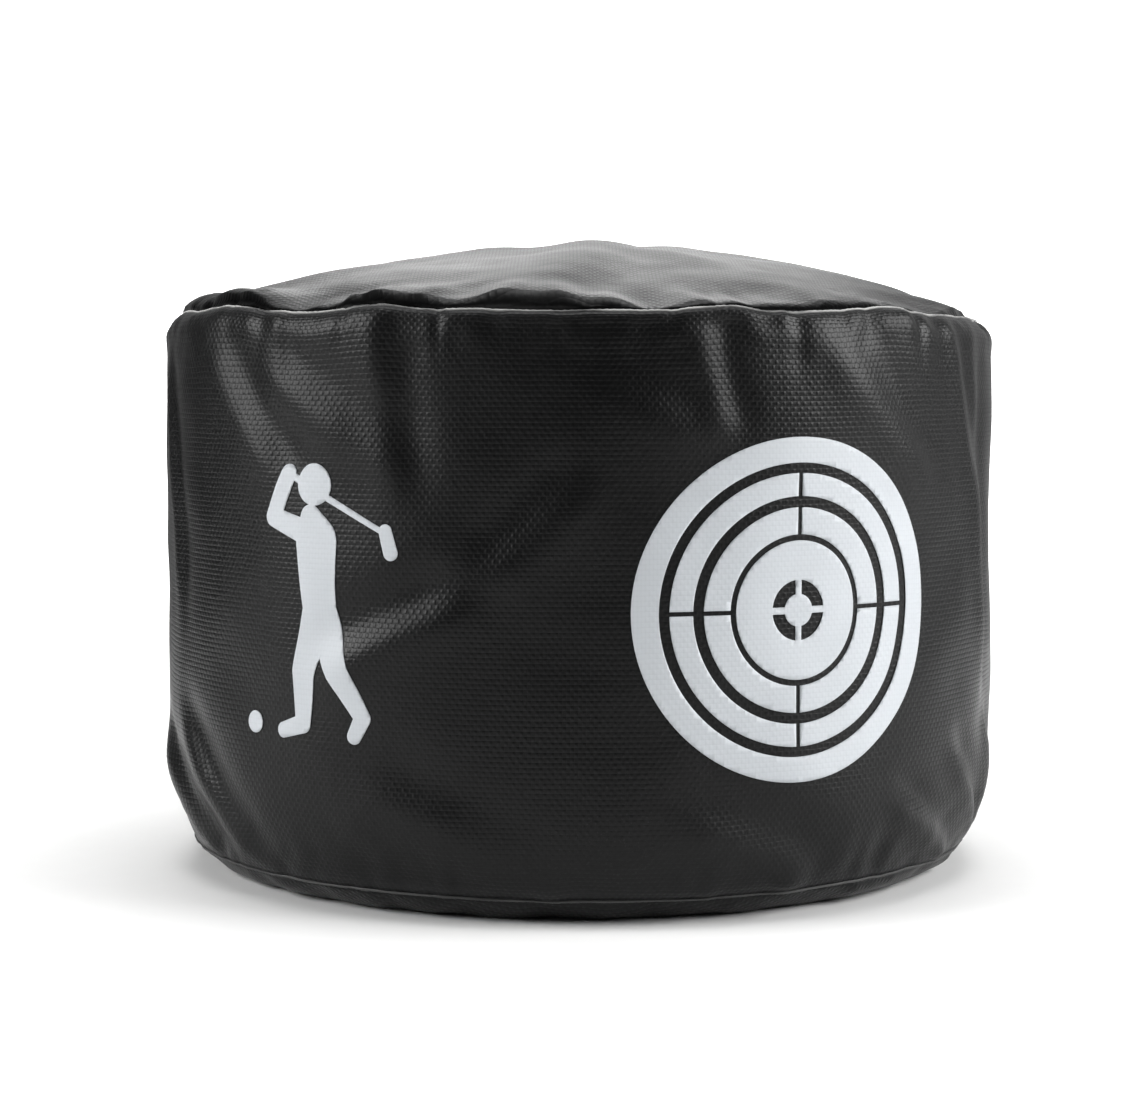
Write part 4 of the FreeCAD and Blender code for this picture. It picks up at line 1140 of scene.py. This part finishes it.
def build_floor():
    """A pale floor that curves up into a backdrop."""
    half, depth, sweep = 7.0, 2.2, 0.9
    angles = np.linspace(0, math.pi / 2, 24)
    profile = [(-9.0, 0.0), (depth, 0.0)]
    profile += [(depth + sweep * math.sin(a), sweep * (1 - math.cos(a))) for a in angles[1:]]
    profile.append((depth + sweep, 3.6))
    columns = np.linspace(-half, half, 9)
    points = [(x, y, z) for y, z in profile for x in columns]
    mesh = mesh_of("studio_floor", points, grid_faces(len(profile), len(columns), False))
    floor = bpy.data.objects.new("studio_floor", mesh)
    bpy.context.scene.collection.objects.link(floor)
    material, tree, shader = fresh_material("studio_paper")
    solid = object_place(tree)
    grain = grain_of(tree, solid, 60.0, 3.0)
    colour = blend_colours(tree, grain, (0.86, 0.86, 0.855, 1), (0.88, 0.88, 0.875, 1))
    tree.links.new(colour, shader.inputs["Base Color"])
    shader.inputs["Roughness"].default_value = 0.9
    # far from the bag the paper glows to the eye, so that it stays pale to the horizon
    away = add(tree, "ShaderNodeVectorMath", {0: solid}, operation="LENGTH").outputs["Value"]
    far = calc(tree, "DIVIDE", calc(tree, "SUBTRACT", away, 1.1), 1.6, clamp=True)
    seen = add(tree, "ShaderNodeLightPath").outputs["Is Camera Ray"]
    glow = calc(tree, "MULTIPLY", calc(tree, "MULTIPLY", far, seen), 0.95)
    tree.links.new(glow, shader.inputs["Emission Strength"])
    shader.inputs["Emission Color"].default_value = (0.99, 0.995, 1.0, 1)
    mesh.materials.append(material)


# Name, place, target, size across and up in metres, power in watts.
LIGHTS = (
    ("overhead_softbox", (0.0, -0.1, 2.0), (0, 0, 0.28), (1.6, 1.0), 26),
    ("rear_softbox", (0.0, 2.2, 1.75), (0, 0, 0.3), (1.8, 1.7), 15),
    ("left_softbox", (-1.62, -0.48, 0.86), (0, 0, 0.2), (0.9, 0.95), 26),
    ("right_softbox", (1.68, -0.42, 0.90), (0, 0, 0.2), (1.3, 1.0), 40),
    ("right_rear_strip", (1.5, 1.3, 0.5), (0.1, 0, 0.16), (0.3, 0.9), 3),
    ("backdrop_light_left", (-0.9, 1.2, 2.2), (-0.35, 3.1, 0.7), (1.0, 0.8), 22),
    ("backdrop_light_right", (0.9, 1.2, 2.2), (0.35, 3.1, 0.7), (1.0, 0.8), 22),
)

# Lights that are kept off the top panel, which would glare when seen from their far side.
WALL_LIGHTS = ("left_softbox", "right_softbox")


def build_lights():
    for name, place, target, (across, up), power in LIGHTS:
        lamp = bpy.data.lights.new(name, "AREA")
        lamp.shape = "RECTANGLE"
        lamp.size, lamp.size_y = across, up
        lamp.energy = power
        light = bpy.data.objects.new(name, lamp)
        light.location = place
        light.visible_camera = False
        light.rotation_euler = (Vector(target) - Vector(place)).to_track_quat("-Z", "Y").to_euler()
        bpy.context.scene.collection.objects.link(light)
        if name in WALL_LIGHTS:
            spared = bpy.data.collections.new(name + "_spares")
            spared.objects.link(bpy.data.objects["top_cloth"])
            spared.collection_objects[0].light_linking.link_state = "EXCLUDE"
            light.light_linking.receiver_collection = spared
    world = bpy.data.worlds.new("studio_air")
    bpy.context.scene.world = world
    world.use_nodes = True
    tree = world.node_tree
    seen = add(tree, "ShaderNodeLightPath").outputs["Is Camera Ray"]
    air = tree.nodes["Background"].inputs
    air["Color"].default_value = (0.96, 0.98, 1.0, 1)
    tree.links.new(calc(tree, "MULTIPLY_ADD", seen, 0.94, 0.06), air["Strength"])
    bpy.context.scene.view_settings.view_transform = "Standard"


# Cards round the bag that only gloss sees, as a studio sets them: name, azimuths from and to, glow.
FLAGS = (
    ("left_black_flag", -102, -130, 0.02), ("left_grey_card", -130, -162, 0.32), ("right_grey_card", 100, 122, 0.35),
    ("right_pale_card", 122, 160, 0.62),
)


FLAG_DISTANCE = 1.05
FLAG_HEIGHTS = np.array([[0.002], [0.5], [1.1]])


def build_flags():
    for name, first, last, glow in FLAGS:
        azimuth = np.linspace(first, last, 7)[None]
        points = around(azimuth, FLAG_DISTANCE, FLAG_HEIGHTS)
        mesh = mesh_of(name, points, grid_faces(3, 7, False))
        material, tree, shader = fresh_material(name + "_card")
        shader.inputs["Base Color"].default_value = (0, 0, 0, 1)
        shader.inputs["Emission Color"].default_value = (1, 1, 1, 1)
        shader.inputs["Emission Strength"].default_value = glow
        shader.inputs["Specular IOR Level"].default_value = 0.0
        mesh.materials.append(material)
        card = bpy.data.objects.new(name, mesh)
        card.visible_camera = card.visible_diffuse = False
        card.visible_shadow = card.visible_transmission = False
        bpy.context.scene.collection.objects.link(card)


def build_camera(studio):
    camera = bpy.data.objects.new("camera", bpy.data.cameras.new("camera"))
    camera.data.lens = studio.lens
    camera.data.sensor_width = 36.0
    camera.location = (studio.aside, -studio.distance, studio.height)
    camera.rotation_euler = (math.pi / 2 - studio.tilt, 0, 0)
    bpy.context.scene.collection.objects.link(camera)
    bpy.context.scene.camera = camera


class IMPACTBAG_PT_panel(bpy.types.Panel):
    """Lists the bag's pieces."""

    bl_idname = "IMPACTBAG_PT_panel"
    bl_label = "Impact Bag"
    bl_space_type = "VIEW_3D"
    bl_region_type = "UI"
    bl_category = "Impact Bag"

    def draw(self, context):
        for step in OPERATORS:
            self.layout.operator(step.bl_idname)


OPERATORS = (IMPACTBAG_OT_cloth, IMPACTBAG_OT_seams, IMPACTBAG_OT_zip, IMPACTBAG_OT_prints, IMPACTBAG_OT_filling,
             IMPACTBAG_OT_stage)
CLASSES = (ImpactBagLooks, ImpactBagStudio, *OPERATORS, IMPACTBAG_PT_panel)


def register():
    for item in CLASSES:
        bpy.utils.register_class(item)
    bpy.types.Scene.impact_bag_looks = bpy.props.PointerProperty(type=ImpactBagLooks)
    bpy.types.Scene.impact_bag_studio = bpy.props.PointerProperty(type=ImpactBagStudio)


def unregister():
    del bpy.types.Scene.impact_bag_studio
    del bpy.types.Scene.impact_bag_looks
    for item in reversed(CLASSES):
        bpy.utils.unregister_class(item)


def main():
    register()
    bpy.ops.impact_bag.cloth()
    bpy.ops.impact_bag.seams()
    bpy.ops.impact_bag.zip()
    bpy.ops.impact_bag.prints()
    bpy.ops.impact_bag.filling()
    bpy.ops.impact_bag.stage()


if __name__ == "__main__":
    main()
